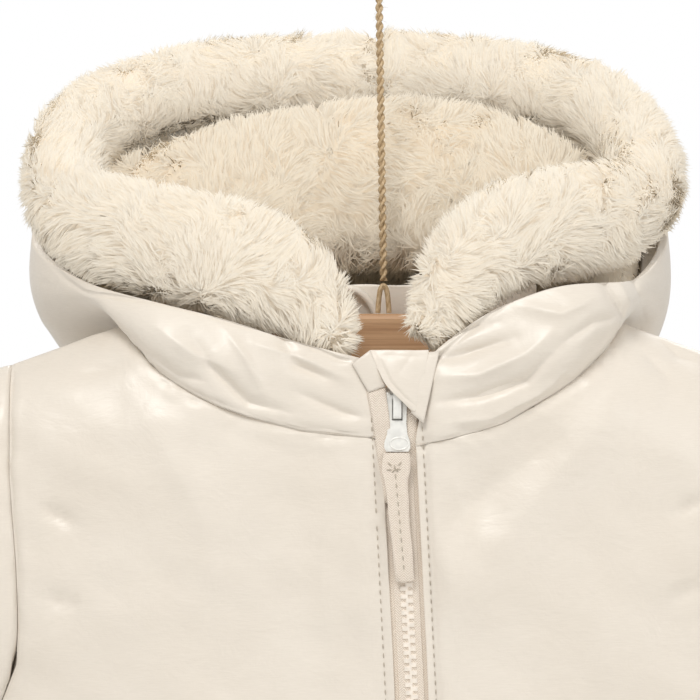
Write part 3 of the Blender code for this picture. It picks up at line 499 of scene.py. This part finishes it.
SLEEVE_CREASES = (
    (((150, -60), (176, -84)), 4.0, -1.6),
    (((160, -120), (196, -132), (226, -126)), 5.0, -1.8),
    (((190, -168), (222, -176)), 4.0, -1.5),
    (((200, -220), (244, -214)), 4.0, -1.5),
    (((206, -262), (236, -270)), 4.5, -1.4),
)
HOOD_CREASES = (
    (((-86, -2), (-72, -12), (-58, -18)), 3.0, 1.3),
    (((-73, -5), (-66, -16), (-52, -30), (-36, -34)), 2.6, -2.0),
    (((-60, -3), (-52, -14), (-46, -26)), 2.0, 1.3),
    (((-92, -10), (-78, -20), (-68, -22)), 2.2, -1.3),
    (((-40, -4), (-34, -16), (-20, -22)), 2.2, -1.6),
    (((-50, -8), (-30, -14), (-14, -22)), 2.0, 1.0),
    (((-34, -26), (-16, -34), (-8, -36)), 2.0, -1.2),
    (((14, -14), (30, -12), (48, -6)), 2.2, -1.9),
    (((16, -21), (34, -20), (52, -12), (62, -4)), 2.6, 1.4),
    (((18, -30), (34, -28), (52, -22), (64, -10)), 2.4, -1.9),
    (((22, -38), (40, -36), (58, -27), (72, -14)), 2.4, 0.9),
    (((14, -12), (26, -4), (42, 0)), 2.0, -1.3),
    (((66, -8), (78, 0), (88, 2)), 2.2, -1.3),
    (((50, 6), (66, 3), (80, 10)), 2.4, 1.2),
    (((84, 23), (90, 12), (96, 1)), 1.8, 1.6),
    (((79, 20), (86, 8), (91, -1)), 1.5, -1.8),
    (((90, 25), (96, 12), (101, 2)), 1.5, -1.8),
)
CREASE_GAIN = {"front": 1.5, "back": 1.0, "sleeve": 1.0, "hood": 1.7}
SLEEVE_MIRROR = -8.0  # twice the x of the coat's middle: the left sleeve's x is this less the right's
PANEL_WAVES = ((0.55, 46.0), (0.2, 17.0))  # height and size of the soft waves all over, in mm
ZIP_LINE = ((20.0, 3.0), (-30.0, 4.1), (-142.0, 9.8), (-230.0, 11.5), (-400.0, 12.0))
SEAM_REACH = 1.7  # pieces this near each other are sewn together
STITCH_FROM = 9.6  # from the zip's middle to the stitch line on each side
RIM_STITCH = 4.2  # from the fur to the bound seam on the hood's shell
# Ridges and valleys by the distance from a seam, the zip's middle or the fur: where, spread, height.
SEAM_VALLEY = (0.0, 1.2, -0.5)
SEAM_RIDGE = (4.5, 2.4, 0.3)
STITCH_VALLEY = (STITCH_FROM, 1.3, -1.1)
STITCH_RIDGE = (16.0, 5.0, 0.9)
RIM_VALLEY = (RIM_STITCH, 0.9, -0.8)
FLAP_SUNK = 0.6  # the cloth between the zip and its stitch line
RIM_RAISED = 0.5  # the bound edge beside the fur
CLOTH_NODES = (
    "front_left",
    "front_right",
    "back",
    "sleeve_left",
    "sleeve_right",
    "hood_left",
    "hood_right",
)
FUR_NODES = ("fur_edge_left", "fur_edge_right", "fur_neck")


def zip_middle(z):
    """The x of the zip's middle at a height."""
    table = np.array(ZIP_LINE)[::-1]
    return np.interp(z, table[:, 0], table[:, 1])


def sewn(points, normals, others, seed):
    """Closes the gap to the pieces beside, and draws the cloth in along their seam."""
    places, away = nearest(others, points, 14.0)
    toward = unit(places - points)
    close = np.clip((SEAM_REACH - away) / 0.3, 0, 1)[:, None]
    points = points + toward * close * (away[:, None] / 2 + 0.12)
    seam = ridge(away, *SEAM_VALLEY) + ridge(away, *SEAM_RIDGE)
    pucker = 0.32 * waves(points, 6.5, seed + 3) * np.exp(-away / 4.0) * (away > SEAM_REACH)
    return points, seam + pucker


def cloth_piece(node, levels, front, creases, seed, material):
    """A soft shell on a cloth node's form; front is -1 for creases seen from the front, else 1."""
    piece = copied(node, node + "_cloth", levels)
    points, normals = read(piece)
    others = tree_of(*(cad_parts[name] for name in CLOTH_NODES if name != node))
    points, seams = sewn(points, normals, others, seed)
    facing = np.clip(front * normals[:, 1] * 1.6, 0, 1)
    height = sum(tall * waves(points, size, seed + k) for k, (tall, size) in enumerate(PANEL_WAVES))
    gain = CREASE_GAIN[node.split("_")[0]]
    for line, width, tall in creases:
        height = height + crease(points, line, width, tall * gain)
    beside = np.abs(points[:, 0] - zip_middle(points[:, 2]))
    if node.startswith(("front", "hood")):
        at_zip = (points[:, 1] < 0) & (points[:, 2] < 0)
        height = np.where(at_zip, height * np.clip((beside - STITCH_FROM) / 6.0, 0, 1), height)
        pressed = ridge(beside, *STITCH_VALLEY) - FLAP_SUNK * (beside < STITCH_FROM)
        height = height + at_zip * (pressed + ridge(beside, *STITCH_RIDGE))
    if node.startswith("hood"):
        away = nearest(tree_of(*(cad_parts[name] for name in FUR_NODES)), points, 12.0)[1]
        height = height + ridge(away, *RIM_VALLEY) + RIM_RAISED * (away < RIM_STITCH - 1.0)
    points[:, 1] += front * facing * height
    points += normals * (seams * away_from_inside(normals, points))[:, None]
    write(piece, points)
    cover(piece, material)
    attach(piece, COAT)
    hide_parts(node)
    return piece


def away_from_inside(normals, points):
    """1 where a piece's outside is, 0 on the wall's inner side."""
    outward = points * [0.25, 1.0, 0.0]
    return np.clip((normals * unit(outward)).sum(axis=1) * 2.0, 0, 1)


def build_cloth(satin):
    mirrored = [
        ([(SLEEVE_MIRROR - x, z) for x, z in line], width, tall) for line, width, tall in SLEEVE_CREASES
    ]
    cloth_piece("front_left", 3, -1, FRONT_CREASES, 11, satin)
    cloth_piece("front_right", 3, -1, FRONT_CREASES, 12, satin)
    cloth_piece("back", 2, 1, BACK_CREASES, 13, satin)
    cloth_piece("sleeve_left", 2, -1, mirrored, 14, satin)
    cloth_piece("sleeve_right", 2, -1, SLEEVE_CREASES, 15, satin)
    cloth_piece("hood_left", 3, -1, HOOD_CREASES, 16, satin)
    cloth_piece("hood_right", 3, -1, HOOD_CREASES, 17, satin)


def soft_copy(node, levels, material, height=0.0, size=9.0, crease_edge=0.8):
    """A small soft piece on its node's form, lightly rumpled."""
    piece = copied(node, node + "_soft", levels, crease_edge)
    points, normals = read(piece)
    points += normals * (height * waves(points, size, len(node)))[:, None]
    write(piece, points)
    cover(piece, material)
    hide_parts(node)
    return piece


# ---------------------------------------------------------------- sewing

STITCH_LONG = 1.9
STITCH_PITCH = 3.4
STITCH_THICK = 0.5
STITCH_POINTS = 4
STITCH_ROWS = (-STITCH_FROM - 0.3, STITCH_FROM - 0.6)  # beside the zip's middle
STITCH_TOP, STITCH_LOW = -12.0, -397.0
HEM_STITCH = -388.0
CUFF_STITCH = ((221.0, -317.0), (282.0, -291.0))  # the right sleeve's, as (x, z)


def stitches(name, rows, material, tree, body=COAT):
    """Rows of short threads, each row a line of (x, z) seen from the front (-1) or behind (1)."""
    parts = []
    for line, way in rows:
        laid = lying(tree, line, STITCH_PITCH / STITCH_POINTS, way)
        for start in range(0, len(laid) - STITCH_POINTS + 1, STITCH_POINTS):
            first, last = laid[start], laid[start + STITCH_POINTS - 1]
            share = np.linspace(0, 1, STITCH_POINTS)[:, None]
            path = first + (last - first) * share * STITCH_LONG / (STITCH_PITCH * 0.75)
            path[:, 1] += way * (0.1 + 0.16 * np.sin(math.pi * share[:, 0]))
            parts.append(tube(path, STITCH_THICK))
    points, faces = joined(parts)
    piece = new_piece(name, points, faces, material, body)
    return piece


def build_sewing(thread_painted_shade, tree):
    heights = np.linspace(STITCH_TOP, STITCH_LOW, 40)
    rows = [([(zip_middle(z) + offset, z) for z in heights], -1) for offset in STITCH_ROWS]
    for way in (-1, 1):
        rows.append((((-190, HEM_STITCH), (-6, HEM_STITCH)), way))
        rows.append((((24, HEM_STITCH), (182, HEM_STITCH)), way))
        for middle, side in ((0.0, 1.0), (SLEEVE_MIRROR, -1.0)):
            rows.append(([(middle + side * x, z) for x, z in CUFF_STITCH], way))
    stitches("topstitching", rows, thread_painted_shade, tree)


# ---------------------------------------------------------------- zip

PATCH_THICK = 0.6
PATCH_JUMP = 4.0  # a larger step in depth is a gap beside the patch, which it doesn't follow
TAPE_FORWARD = 1.7  # the tape's cloth swells towards the front of its solid
# Small pieces at the zip's top, each by its left and right edges as (x, z), from the top down.
ZIP_END = (((-12.8, -15.7), (-6.6, -26.4)), ((-6.0, -10.5), (0.0, -24.0)))
TAPE_END_LEFT = (
    ((-7.2, -25.6), (-5.2, -36.7), (-3.4, -50.0), (-0.2, -68.0)),
    ((-0.4, -23.6), (1.4, -36.7), (2.0, -50.0), (2.4, -68.0)),
)
TAPE_SHOWS_FROM = -30.8
TAPE_SHOWS_TO = -394.0
TAPE_INNER, TAPE_OUTER = 2.4, 7.4  # from the zip's middle to a tape's edges where it shows
TAPE_FACES = (
    # side, name, from the patch's left edge to the cloth whose depth it takes
    (-1, "tape_face_left", -1.6),
    (1, "tape_face_right", 6.8),
)
TAPE_FACE_SUNK = 1.3  # the tape behind the face of the cloth beside it
GUARD_ROOT = (((12.6, -11.4), (9.4, -34.0)), ((20.0, -11.0), (14.0, -38.0)))
GUARD_PROUD = 0.4  # room for the pull to swing behind the guard
GUARD_EDGE = ((-3.8, -10.6), (1.6, -22.4), (7.0, -28.2), (11.4, -31.6))
GUARD_TOP = ((-2.0, -12.6), (14.0, -13.0))
GUARD_CREASES = (
    (GUARD_EDGE, 0.55, -0.55),
    (GUARD_TOP, 0.7, -0.3),
    (((10, -12), (4, -20)), 1.2, -0.35),
)
PULL_FACE = (4.9, -40.0)  # a place on the pull's front
PULL_BEAD = (0.5, -27.6)
BEAD_RADII = (1.4, 0.6, 1.5)
PULL_RING = (4.9, -45.6)
RING_HALF = (3.4, 2.3)
RING_WIRE = 0.7
# The seam down the pull's tape, and the bar and cross sewn at its top.
PULL_STITCHES = (
    ((3.2, -53.6), (6.9, -95.0)),
    ((0.2, -55.4), (6.4, -55.0)),
    ((0.6, -52.6), (6.2, -57.6)),
    ((5.8, -52.4), (0.8, -57.8)),
)
TOOTH_PITCH = 3.0
TEETH_FROM = -40.0
TEETH_TO = -392.0
TOOTH_WIDE = 3.1
TOOTH_HIGH = 1.9
TOOTH_ASIDE = 0.95  # from the zip's middle to a tooth's
# A tooth from its front to its back: the size as a share, and the depth behind the chain's face.
TOOTH_SECTIONS = ((0.8, -0.55), (1.0, -0.1), (1.0, 1.9))


def patch(name, edges, beside, proud, material, tree, rows=14, columns=9):
    """A small piece of cloth between two edges, as far out as what is beside its left edge."""
    sides = []
    for edge in edges:
        edge = np.array(edge, float)
        share = np.linspace(0, 1, len(edge))
        at = np.linspace(0, 1, rows)
        sides.append(np.stack([np.interp(at, share, edge[:, 0]), np.interp(at, share, edge[:, 1])], axis=1))
    points = []
    depth = None
    for left, right in zip(*sides, strict=True):
        y = depth_at(tree, left[0] + beside, left[1])
        if y is not None and (depth is None or abs(y - depth) < PATCH_JUMP):
            depth = y
        for share in np.linspace(0, 1, columns):
            x, z = left + (right - left) * share
            points.append((x, depth - proud - 0.4 * math.sin(math.pi * share), z))
    count = len(points)
    points = np.array(points + [(x, y + PATCH_THICK, z) for x, y, z in points])
    faces = quads(rows, columns) + [face[::-1] for face in quads(rows, columns, count)]
    rim = list(range(columns)) + [r * columns + columns - 1 for r in range(1, rows)]
    rim += [(rows - 1) * columns + k for k in range(columns - 2, -1, -1)]
    rim += [r * columns for r in range(rows - 2, 0, -1)]
    faces += [(a, a + count, b + count, b) for a, b in zip(rim, rim[1:] + rim[:1], strict=True)]
    piece = new_piece(name, points, faces, material)
    return piece


def ball(centre, radii, rings=12, sides=20):
    """An egg's points and faces."""
    points = []
    for up in np.linspace(-math.pi / 2, math.pi / 2, rings):
        for turn in np.linspace(0, 2 * math.pi, sides, endpoint=False):
            way = (math.cos(up) * math.cos(turn), math.cos(up) * math.sin(turn), math.sin(up))
            points.append(np.array(centre) + np.array(way) * radii)
    return np.array(points), quads(rings, sides, 0, True)


def oval(centre, half, thick, sides=32, around=10):
    """A ring of round wire that lies flat towards the front."""
    points = []
    for turn in np.linspace(0, 2 * math.pi, sides, endpoint=False):
        out = np.array([math.cos(turn), 0.0, math.sin(turn)])
        middle = np.array(centre) + out * [half[0], 0.0, half[1]]
        for lean in np.linspace(0, 2 * math.pi, around, endpoint=False):
            round_it = out * math.cos(lean) + np.array([0.0, math.sin(lean), 0.0])
            points.append(middle + thick / 2 * round_it)
    open_faces = quads(sides + 1, around, 0, True)
    return np.array(points), [tuple(v % len(points) for v in face) for face in open_faces]


def build_pull(metal, thread_painted_shade, tape_piece):
    """The pull's bead and ring, and the stitches through its tape."""
    front = depth_at(tree_of(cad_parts["pull"]), *PULL_FACE)
    bead = ball((PULL_BEAD[0], front + 0.4, PULL_BEAD[1]), BEAD_RADII)
    ring = oval((PULL_RING[0], front + 0.05, PULL_RING[1]), RING_HALF, RING_WIRE)
    points, faces = joined([bead, ring])
    trim = new_piece("pull_trim", points, faces, metal, "pull")
    rows = [(line, -1) for line in PULL_STITCHES]
    stitches("pull_stitches", rows, thread_painted_shade, tree_of(tape_piece), "pull")


def build_teeth(material):
    """The moulded teeth: each side's sit between the other's."""
    tree = tree_of(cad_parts["zip_chain"])
    parts = []
    for side in (-1, 1):
        for k in range(int((TEETH_FROM - TEETH_TO) / TOOTH_PITCH)):
            z = TEETH_FROM - (k + 0.25 + 0.25 * side) * TOOTH_PITCH
            x = zip_middle(z)
            front = depth_at(tree, x, z)
            if front is None:
                continue
            corners = []
            for share, y in TOOTH_SECTIONS:
                for across, up in ((-1, -1), (1, -1), (1, 1), (-1, 1)):
                    corner_x = x + side * TOOTH_ASIDE + across * TOOTH_WIDE / 2 * share
                    corners.append((corner_x, front + y, z + up * TOOTH_HIGH / 2 * share))
            faces = quads(len(TOOTH_SECTIONS), 4, 0, True) + [(3, 2, 1, 0)]
            parts.append((np.array(corners), faces))
    points, faces = joined(parts)
    teeth = new_piece("zip_teeth", points, faces, material, smooth=False)


# ---------------------------------------------------------------- fur

FUR_PILE = 11.0  # mm from the skin to the tips
FUR_PROUD = 1.2  # how far the tips stand over the solid's surface
FUR_LENGTHS = (0.8, 1.12)  # the shortest and longest pile, as shares
FUR_ROOTS = 0.5  # depth of the roots, as a share of the pile
FUR_FORM_SUNK = 0.42  # depth of the form that shows between the strands, as a share of the pile
FUR_SWIRLS = ((60.0, 0.5, 10), (14.0, 0.45, 20))  # how the lean wanders: size, strength, seed
FUR_COMB = np.array([0.0, 0.75, 0.28])  # the way that all of it leans
FUR_LEANS = (0.55, 0.95)  # the least and the most that a strand leans
# Strands just behind the edge of the pile, where the outward way has a y from 0 to this, face
# forwards, so that their lit side shows over it.
FUR_TURNS = 0.5
FUR_GLOW = np.array([0.0, -0.1, 0.2])  # scattered light comes from above and before, so faces do
FUR_FORM_TONE = 0.7  # between the strands, most of the way from the roots' colour to the tips'
STRAND_WIDTH = 0.63
# Painted shade: the lower tones darken each strand towards its root.
STRAND_TONES = np.array([0.3, 0.3, 0.7, 0.7, 1.0])  # at a strand's five points, 1 at its tip
TUFT_STRANDS = 60
TUFT_PULL = 0.3
# Where the pile fills in past its solid: the lapels' fur hangs over the shell's rim.
FORM_SHIFTS = (
    # node, middle x, spread, below this z, shift in x, shift in z
    ("fur_edge_left", -33.0, 17.0, 8.0, 0.0, -4.5),
    ("fur_edge_right", 74.0, 24.0, 40.0, 0.0, -5.0),
    ("fur_neck", -100.0, 20.0, 300.0, -8.0, 2.0),
)
FUR_PIECES = (
    # node, strands, share of the pile, seed
    ("fur_edge_left", 48000, 1.0, 21),
    ("fur_edge_right", 45000, 1.0, 22),
    ("fur_neck", 46000, 1.0, 23),
    ("fur_lining", 14000, 0.55, 24),
)


def sampled(piece, count, rng):
    """Seeded points all over a mesh: places in mm and smooth normals."""
    mesh = piece.data
    mesh.calc_loop_triangles()
    corners = np.array([t.vertices for t in mesh.loop_triangles])
    points, normals = read(piece)
    a, b, c = (points[corners[:, k]] for k in range(3))
    area = np.linalg.norm(np.cross(b - a, c - a), axis=1)
    pick = rng.choice(len(corners), size=count, p=area / area.sum())
    u, v = rng.random(count), rng.random(count)
    u, v = np.where(u + v > 1, 1 - u, u), np.where(u + v > 1, 1 - v, v)
    share = np.stack([1 - u - v, u, v], axis=1)
    place = sum(points[corners[pick, k]] * share[:, k, None] for k in range(3))
    normal = sum(normals[corners[pick, k]] * share[:, k, None] for k in range(3))
    return place, normal / np.linalg.norm(normal, axis=1, keepdims=True)


def field(points, size, seed):
    """A smooth seeded direction at each point."""
    return np.stack([waves(points, size, seed + k) for k in range(3)], axis=1)


def tufted(place, tips, normal, pile, rng):
    """Tips drawn together into tufts."""
    count = max(len(place) // TUFT_STRANDS, 8)
    centres = rng.choice(len(place), size=count, replace=False)
    tree = KDTree(count)
    for k, i in enumerate(centres):
        tree.insert(place[i], k)
    tree.balance()
    near = np.array([centres[tree.find(point)[1]] for point in place])
    pull = TUFT_PULL * rng.uniform(0.5, 1.3, (len(place), 1))
    drawn = tips[near] + (tips - tips[near]) * (1 - pull)
    return drawn + normal * (0.25 * pile * (rng.random(len(place)) - 0.6))[:, None]


def strand_mesh(name, root, middle, tip, wide, soft, tone_at):
    """Every strand is a bent blade: two points at its root, two at its middle and its tip."""
    count = len(root)
    points = np.stack([root - wide, root + wide, middle + wide * 0.85, middle - wide * 0.85, tip], axis=1)
    mesh = bpy.data.meshes.new(name)
    loops = (np.arange(count)[:, None] * 5 + np.array([0, 1, 2, 3, 3, 2, 4])[None]).ravel()
    mesh.vertices.add(count * 5)
    mesh.vertices.foreach_set("co", metres(points.reshape(-1, 3)).ravel())
    mesh.loops.add(len(loops))
    mesh.loops.foreach_set("vertex_index", loops)
    mesh.polygons.add(count * 2)
    starts = np.arange(count)[:, None] * 7 + np.array([0, 4])[None]
    mesh.polygons.foreach_set("loop_start", starts.ravel())
    mesh.update(calc_edges=True)
    tone = mesh.attributes.new("tip", "FLOAT", "POINT")
    tone.data.foreach_set("value", np.clip(STRAND_TONES + tone_at[:, None], 0, 1).ravel())
    mesh.shade_smooth()
    mesh.normals_split_custom_set_from_vertices(np.repeat(soft, 5, axis=0))
    return mesh


def shift_form(form, node):
    """Moves parts of a fur piece a little, as FORM_SHIFTS says."""
    for name, middle, spread, below, across, up in FORM_SHIFTS:
        if name == node:
            points = read(form)[0]
            share = np.clip((below - points[:, 2]) / 14.0, 0, 1)
            share = ridge(points[:, 0], middle, spread, 1.0) * share
            write(form, points + share[:, None] * [across, 0.0, up])


def strands_on(form, name, count, pile_share, seed):
    """The mesh of a fur piece's strands, rooted all over its form."""
    rng = np.random.default_rng(seed)
    place, normal = sampled(form, count, rng)
    pile = FUR_PILE * pile_share * rng.uniform(*FUR_LENGTHS, count)
    pile = pile * (1 + 0.08 * waves(place, 16.0, seed + 5))
    lean = sum(field(place, size, seed + more) * strength for size, strength, more in FUR_SWIRLS)
    lean += rng.normal(size=(count, 3)) * 0.16 + FUR_COMB
    lean -= normal * (lean * normal).sum(axis=1, keepdims=True)
    lean = unit(lean) * rng.uniform(*FUR_LEANS, (count, 1))
    root = place - (normal * FUR_ROOTS + lean * 0.3) * pile[:, None]
    rise = FUR_PROUD - rng.uniform(0.0, 0.22, count) * pile
    tip = place + lean * pile[:, None] * 0.7 + normal * rise[:, None]
    tip = tufted(place, tip, normal, pile, rng)
    middle = (root + tip) / 2 + normal * (0.14 * pile)[:, None]
    run = unit(tip - root)
    turned = ((normal[:, 1] > 0) & (normal[:, 1] < FUR_TURNS))[:, None]
    outward = np.where(turned, unit(normal * [0.7, 0.0, 0.7] + [0.0, -0.7, 0.0]), normal)
    across = unit(np.cross(run, outward + 0.25 * rng.normal(size=(count, 3))))
    across *= np.sign((np.cross(across, run) * outward).sum(axis=1, keepdims=True))
    wide = across * STRAND_WIDTH * rng.uniform(0.7, 1.3, (count, 1)) / 2
    soft = unit(outward + 0.3 * lean + FUR_GLOW + 0.12 * rng.normal(size=(count, 3)))
    return strand_mesh(name, root, middle, tip, wide, soft, 0.1 * rng.normal(size=count))


def build_fur(rolled, lining):
    for node, count, pile_share, seed in FUR_PIECES:
        # The hood's inner fur takes the darker copy, painted shade for the inside of the hood.
        material = rolled if node.startswith("fur_edge") else lining
        form = copied(node, node + "_form", 1, 0.9)
        shift_form(form, node)
        mesh = strands_on(form, node + "_strands", count, pile_share, seed)
        mesh.materials.append(material)
        strands = bpy.data.objects.new(node + "_strands", mesh)
        bpy.context.scene.collection.objects.link(strands)
        points, normals = read(form)
        write(form, points - normals * FUR_PILE * pile_share * FUR_FORM_SUNK)
        tone = form.data.attributes.new("tip", "FLOAT", "POINT")
        tone.data.foreach_set("value", np.full(len(points), FUR_FORM_TONE))
        cover(form, material)
        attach(form, COAT)
        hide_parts(node)
        strands.visible_shadow = False  # light passes between real hairs
        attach(strands, COAT)


# ---------------------------------------------------------------- twine

TWINE_FROM = (-0.6, 0.0, 16.0)
TWINE_TO = (-2.4, 0.0, 131.0)
TWINE_THICK = 3.0
TWINE_HAIRS = 420
TWINE_HAIR_LENGTHS = (1.0, 3.2)
TWINE_HAIR_HALF = 0.045
TWINE_TURN = 7.0  # mm for one turn of its two plies


def twisted(path, thick, turn_length, sides=8):
    """Two plies wound round each other along a path: rings for each ply."""
    path = np.asarray(path, float)
    run = np.linalg.norm(np.diff(path, axis=0), axis=1)
    length = np.concatenate([[0], np.cumsum(run)])
    ahead = unit(np.gradient(path, axis=0))
    side = unit(np.cross(ahead, [0.0, 1.0, 0.0]))
    other = np.cross(ahead, side)
    plies = []
    for ply in (0.0, math.pi):
        turn = length / turn_length * 2 * math.pi + ply
        middle = path + (side * np.cos(turn)[:, None] + other * np.sin(turn)[:, None]) * thick * 0.25
        rings = middle[:, None] + spokes(side, other, sides) * thick * 0.27
        plies.append((rings.reshape(-1, 3), capped(len(path), sides)))
    return joined(plies)


def build_fuzz(path, jute):
    """Fine hairs that stand out of the twine."""
    rng = np.random.default_rng(41)
    at = path[rng.integers(2, len(path) - 2, TWINE_HAIRS)]
    out = unit(rng.normal(size=(TWINE_HAIRS, 3)) * [1, 1, 0.3])
    root = at + out * TWINE_THICK * 0.35
    way = unit(out + rng.normal(size=out.shape) * [0.5, 0.5, 1.2])
    tip = root + way * rng.uniform(*TWINE_HAIR_LENGTHS, (TWINE_HAIRS, 1))
    middle = (root + tip) / 2 + rng.normal(size=out.shape) * 0.25
    wide = unit(np.cross(tip - root, out + 0.2)) * TWINE_HAIR_HALF
    mesh = strand_mesh("twine_hairs", root, middle, tip, wide, out, np.zeros(TWINE_HAIRS))
    mesh.materials.append(jute)
    hairs = bpy.data.objects.new("twine_hairs", mesh)
    bpy.context.scene.collection.objects.link(hairs)
    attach(hairs, COAT)


def build_twine(jute):
    path = np.linspace(TWINE_FROM, TWINE_TO, 140)
    points, faces = twisted(path, TWINE_THICK, TWINE_TURN)
    twine = new_piece("twine_plies", points, faces, jute)
    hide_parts("twine")
    for node in ("twine_knot", "twine_loop", "twine_legs"):
        paint(node, jute)
    build_fuzz(path, jute)


# ---------------------------------------------------------------- stage

# Places in metres.
LIGHT_AIM = (0, 0, -0.15)
LIGHTS = (
    # name, place, size, power, colour
    ("key", (-0.45, -1.25, 1.25), (0.7, 0.7), 19.5, (1.0, 0.995, 0.985)),
    ("fill", (1.5, -1.2, 0.3), (1.2, 1.2), 7.0, (1.0, 1.0, 1.0)),
    ("back", (0.3, 1.6, 1.2), (1.4, 1.0), 15.0, (1.0, 1.0, 1.0)),
)
WORLD_STRENGTH = 0.63
WORLD_COLOUR = (1.0, 0.985, 0.96, 1.0)
FLOOR_CORNERS = [(-4, -4, -0.75), (4, -4, -0.75), (4, 4, -0.75), (-4, 4, -0.75)]


def area_light(name, place, size, power, colour):
    light = bpy.data.lights.new(name, "AREA")
    light.shape = "RECTANGLE"
    light.size, light.size_y = size
    light.energy = power
    light.color = colour
    lamp = bpy.data.objects.new(name, light)
    lamp.location = place
    lamp.rotation_euler = (Vector(LIGHT_AIM) - Vector(place)).to_track_quat("-Z", "Y").to_euler()
    bpy.context.scene.collection.objects.link(lamp)


def build_stage():
    """A soft warm world that the camera sees as white, an off-white floor and three lights."""
    scene = bpy.context.scene
    scene.view_settings.view_transform = "Standard"
    world = bpy.data.worlds.new("studio")
    world.use_nodes = True
    scene.world = world
    tree = world.node_tree
    tree.nodes["Background"].inputs["Strength"].default_value = WORLD_STRENGTH
    tree.nodes["Background"].inputs["Color"].default_value = WORLD_COLOUR
    white = tree.nodes.new("ShaderNodeBackground")
    white.inputs["Color"].default_value = (1, 1, 1, 1)
    choose = tree.nodes.new("ShaderNodeMixShader")
    path = tree.nodes.new("ShaderNodeLightPath")
    tree.links.new(path.outputs["Is Camera Ray"], choose.inputs[0])
    tree.links.new(tree.nodes["Background"].outputs[0], choose.inputs[1])
    tree.links.new(white.outputs[0], choose.inputs[2])
    tree.links.new(choose.outputs[0], tree.nodes["World Output"].inputs[0])
    floor = bpy.data.meshes.new("floor")
    floor.from_pydata(FLOOR_CORNERS, [], [(0, 1, 2, 3)])
    floor.materials.append(plain("floor", (0.9, 0.9, 0.89), 0.7, 6.0))
    ground = bpy.data.objects.new("floor", floor)
    scene.collection.objects.link(ground)
    for light in LIGHTS:
        area_light(*light)


def build_small_cloth(satin, satin_with_painted_light):
    """The neck's facing, the hang loop and the chin guard, which it returns."""
    facing = soft_copy("neck_facing", 2, satin_with_painted_light, 0.35, 24.0)
    loop = soft_copy("hang_loop", 2, satin_with_painted_light, 0.1)
    guard = soft_copy("chin_guard", 3, satin, 0.08, 8.0)
    points, normals = read(guard)
    points[:, 1] -= GUARD_PROUD
    for line, width, tall in GUARD_CREASES:
        points[:, 1] -= crease(points, line, width, tall) * np.clip(-normals[:, 1], 0, 1)
    write(guard, points)
    for piece in (facing, loop, guard):
        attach(piece, COAT)
    return guard


def build_tapes(tape):
    """The zip's two tapes and the pull's, which it returns."""
    for node in ("zip_tape_left", "zip_tape_right"):
        piece = soft_copy(node, 1, tape, 0.08, 14.0)
        write(piece, read(piece)[0] - [0.0, TAPE_FORWARD, 0.0])
        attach(piece, COAT)
    pull_tape = soft_copy("pull_tape", 2, tape, 0.12, 12.0)
    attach(pull_tape, "pull")
    return pull_tape


def build_patches(satin, tape, cloth_tree, guard):
    """The ends and faces of the tapes that show, and the cloth at the zip's top."""
    patch("tape_end_left", TAPE_END_LEFT, -0.5, 0.25, tape, cloth_tree)
    heights = np.linspace(TAPE_SHOWS_FROM, TAPE_SHOWS_TO, 30)
    for side, name, beside in TAPE_FACES:
        inner = [(zip_middle(z) + side * TAPE_INNER, z) for z in heights]
        outer = [(zip_middle(z) + side * TAPE_OUTER, z) for z in heights]
        edges = (outer, inner) if side < 0 else (inner, outer)
        patch(name, edges, beside, -TAPE_FACE_SUNK, tape, cloth_tree, 90, 7)
    patch("zip_end", ZIP_END, -0.5, 0.8, satin, cloth_tree)
    patch("guard_root", GUARD_ROOT, -2.0, -0.7, satin, tree_of(guard))


def main():
    build_camera()
    build_stage()
    satin = satin_material("satin_ivory", 0.0)
    # The neck's facing and hang loop lie in shade; their satin is painted lighter, as painted light.
    satin_with_painted_light = satin_material("satin_facing_painted_light", 0.85)
    tape = tape_material()
    jute = jute_material()
    # Painted shade: the stitches are coloured dark for the shade in their needle holes.
    thread_painted_shade = plain("thread_painted_shade", (0.46, 0.40, 0.32), 0.6, 2600.0, 0.05)
    metal = plain("white_metal", (0.85, 0.84, 0.80), 0.28, 300.0, 0.03, Metallic=0.2)
    teeth = plain("zip_teeth", (0.84, 0.76, 0.67), 0.35, 400.0, 0.05)
    build_twine(jute)
    build_cloth(satin)
    guard = build_small_cloth(satin, satin_with_painted_light)
    pull_tape = build_tapes(tape)
    cloth_tree = tree_of(*(bpy.data.objects[name + "_cloth"] for name in CLOTH_NODES))
    build_sewing(thread_painted_shade, cloth_tree)
    build_teeth(teeth)
    build_patches(satin, tape, cloth_tree, guard)
    build_pull(metal, thread_painted_shade, pull_tape)
    # The lining's fur is a darker, warmer copy of the cream fur: painted shade for the hood's inside.
    build_fur(
        fur_material("cream_fur", (0.78, 0.66, 0.51), (0.81, 0.72, 0.59), (0.84, 0.785, 0.685)),
        fur_material("lining_fur_painted_shade", (0.74, 0.60, 0.44), (0.77, 0.67, 0.53), (0.79, 0.72, 0.60)),
    )
    paint("zip_chain", tape)
    paint("slider", metal)
    paint("pull", metal)
    paint("hanger", wood_material())


main()
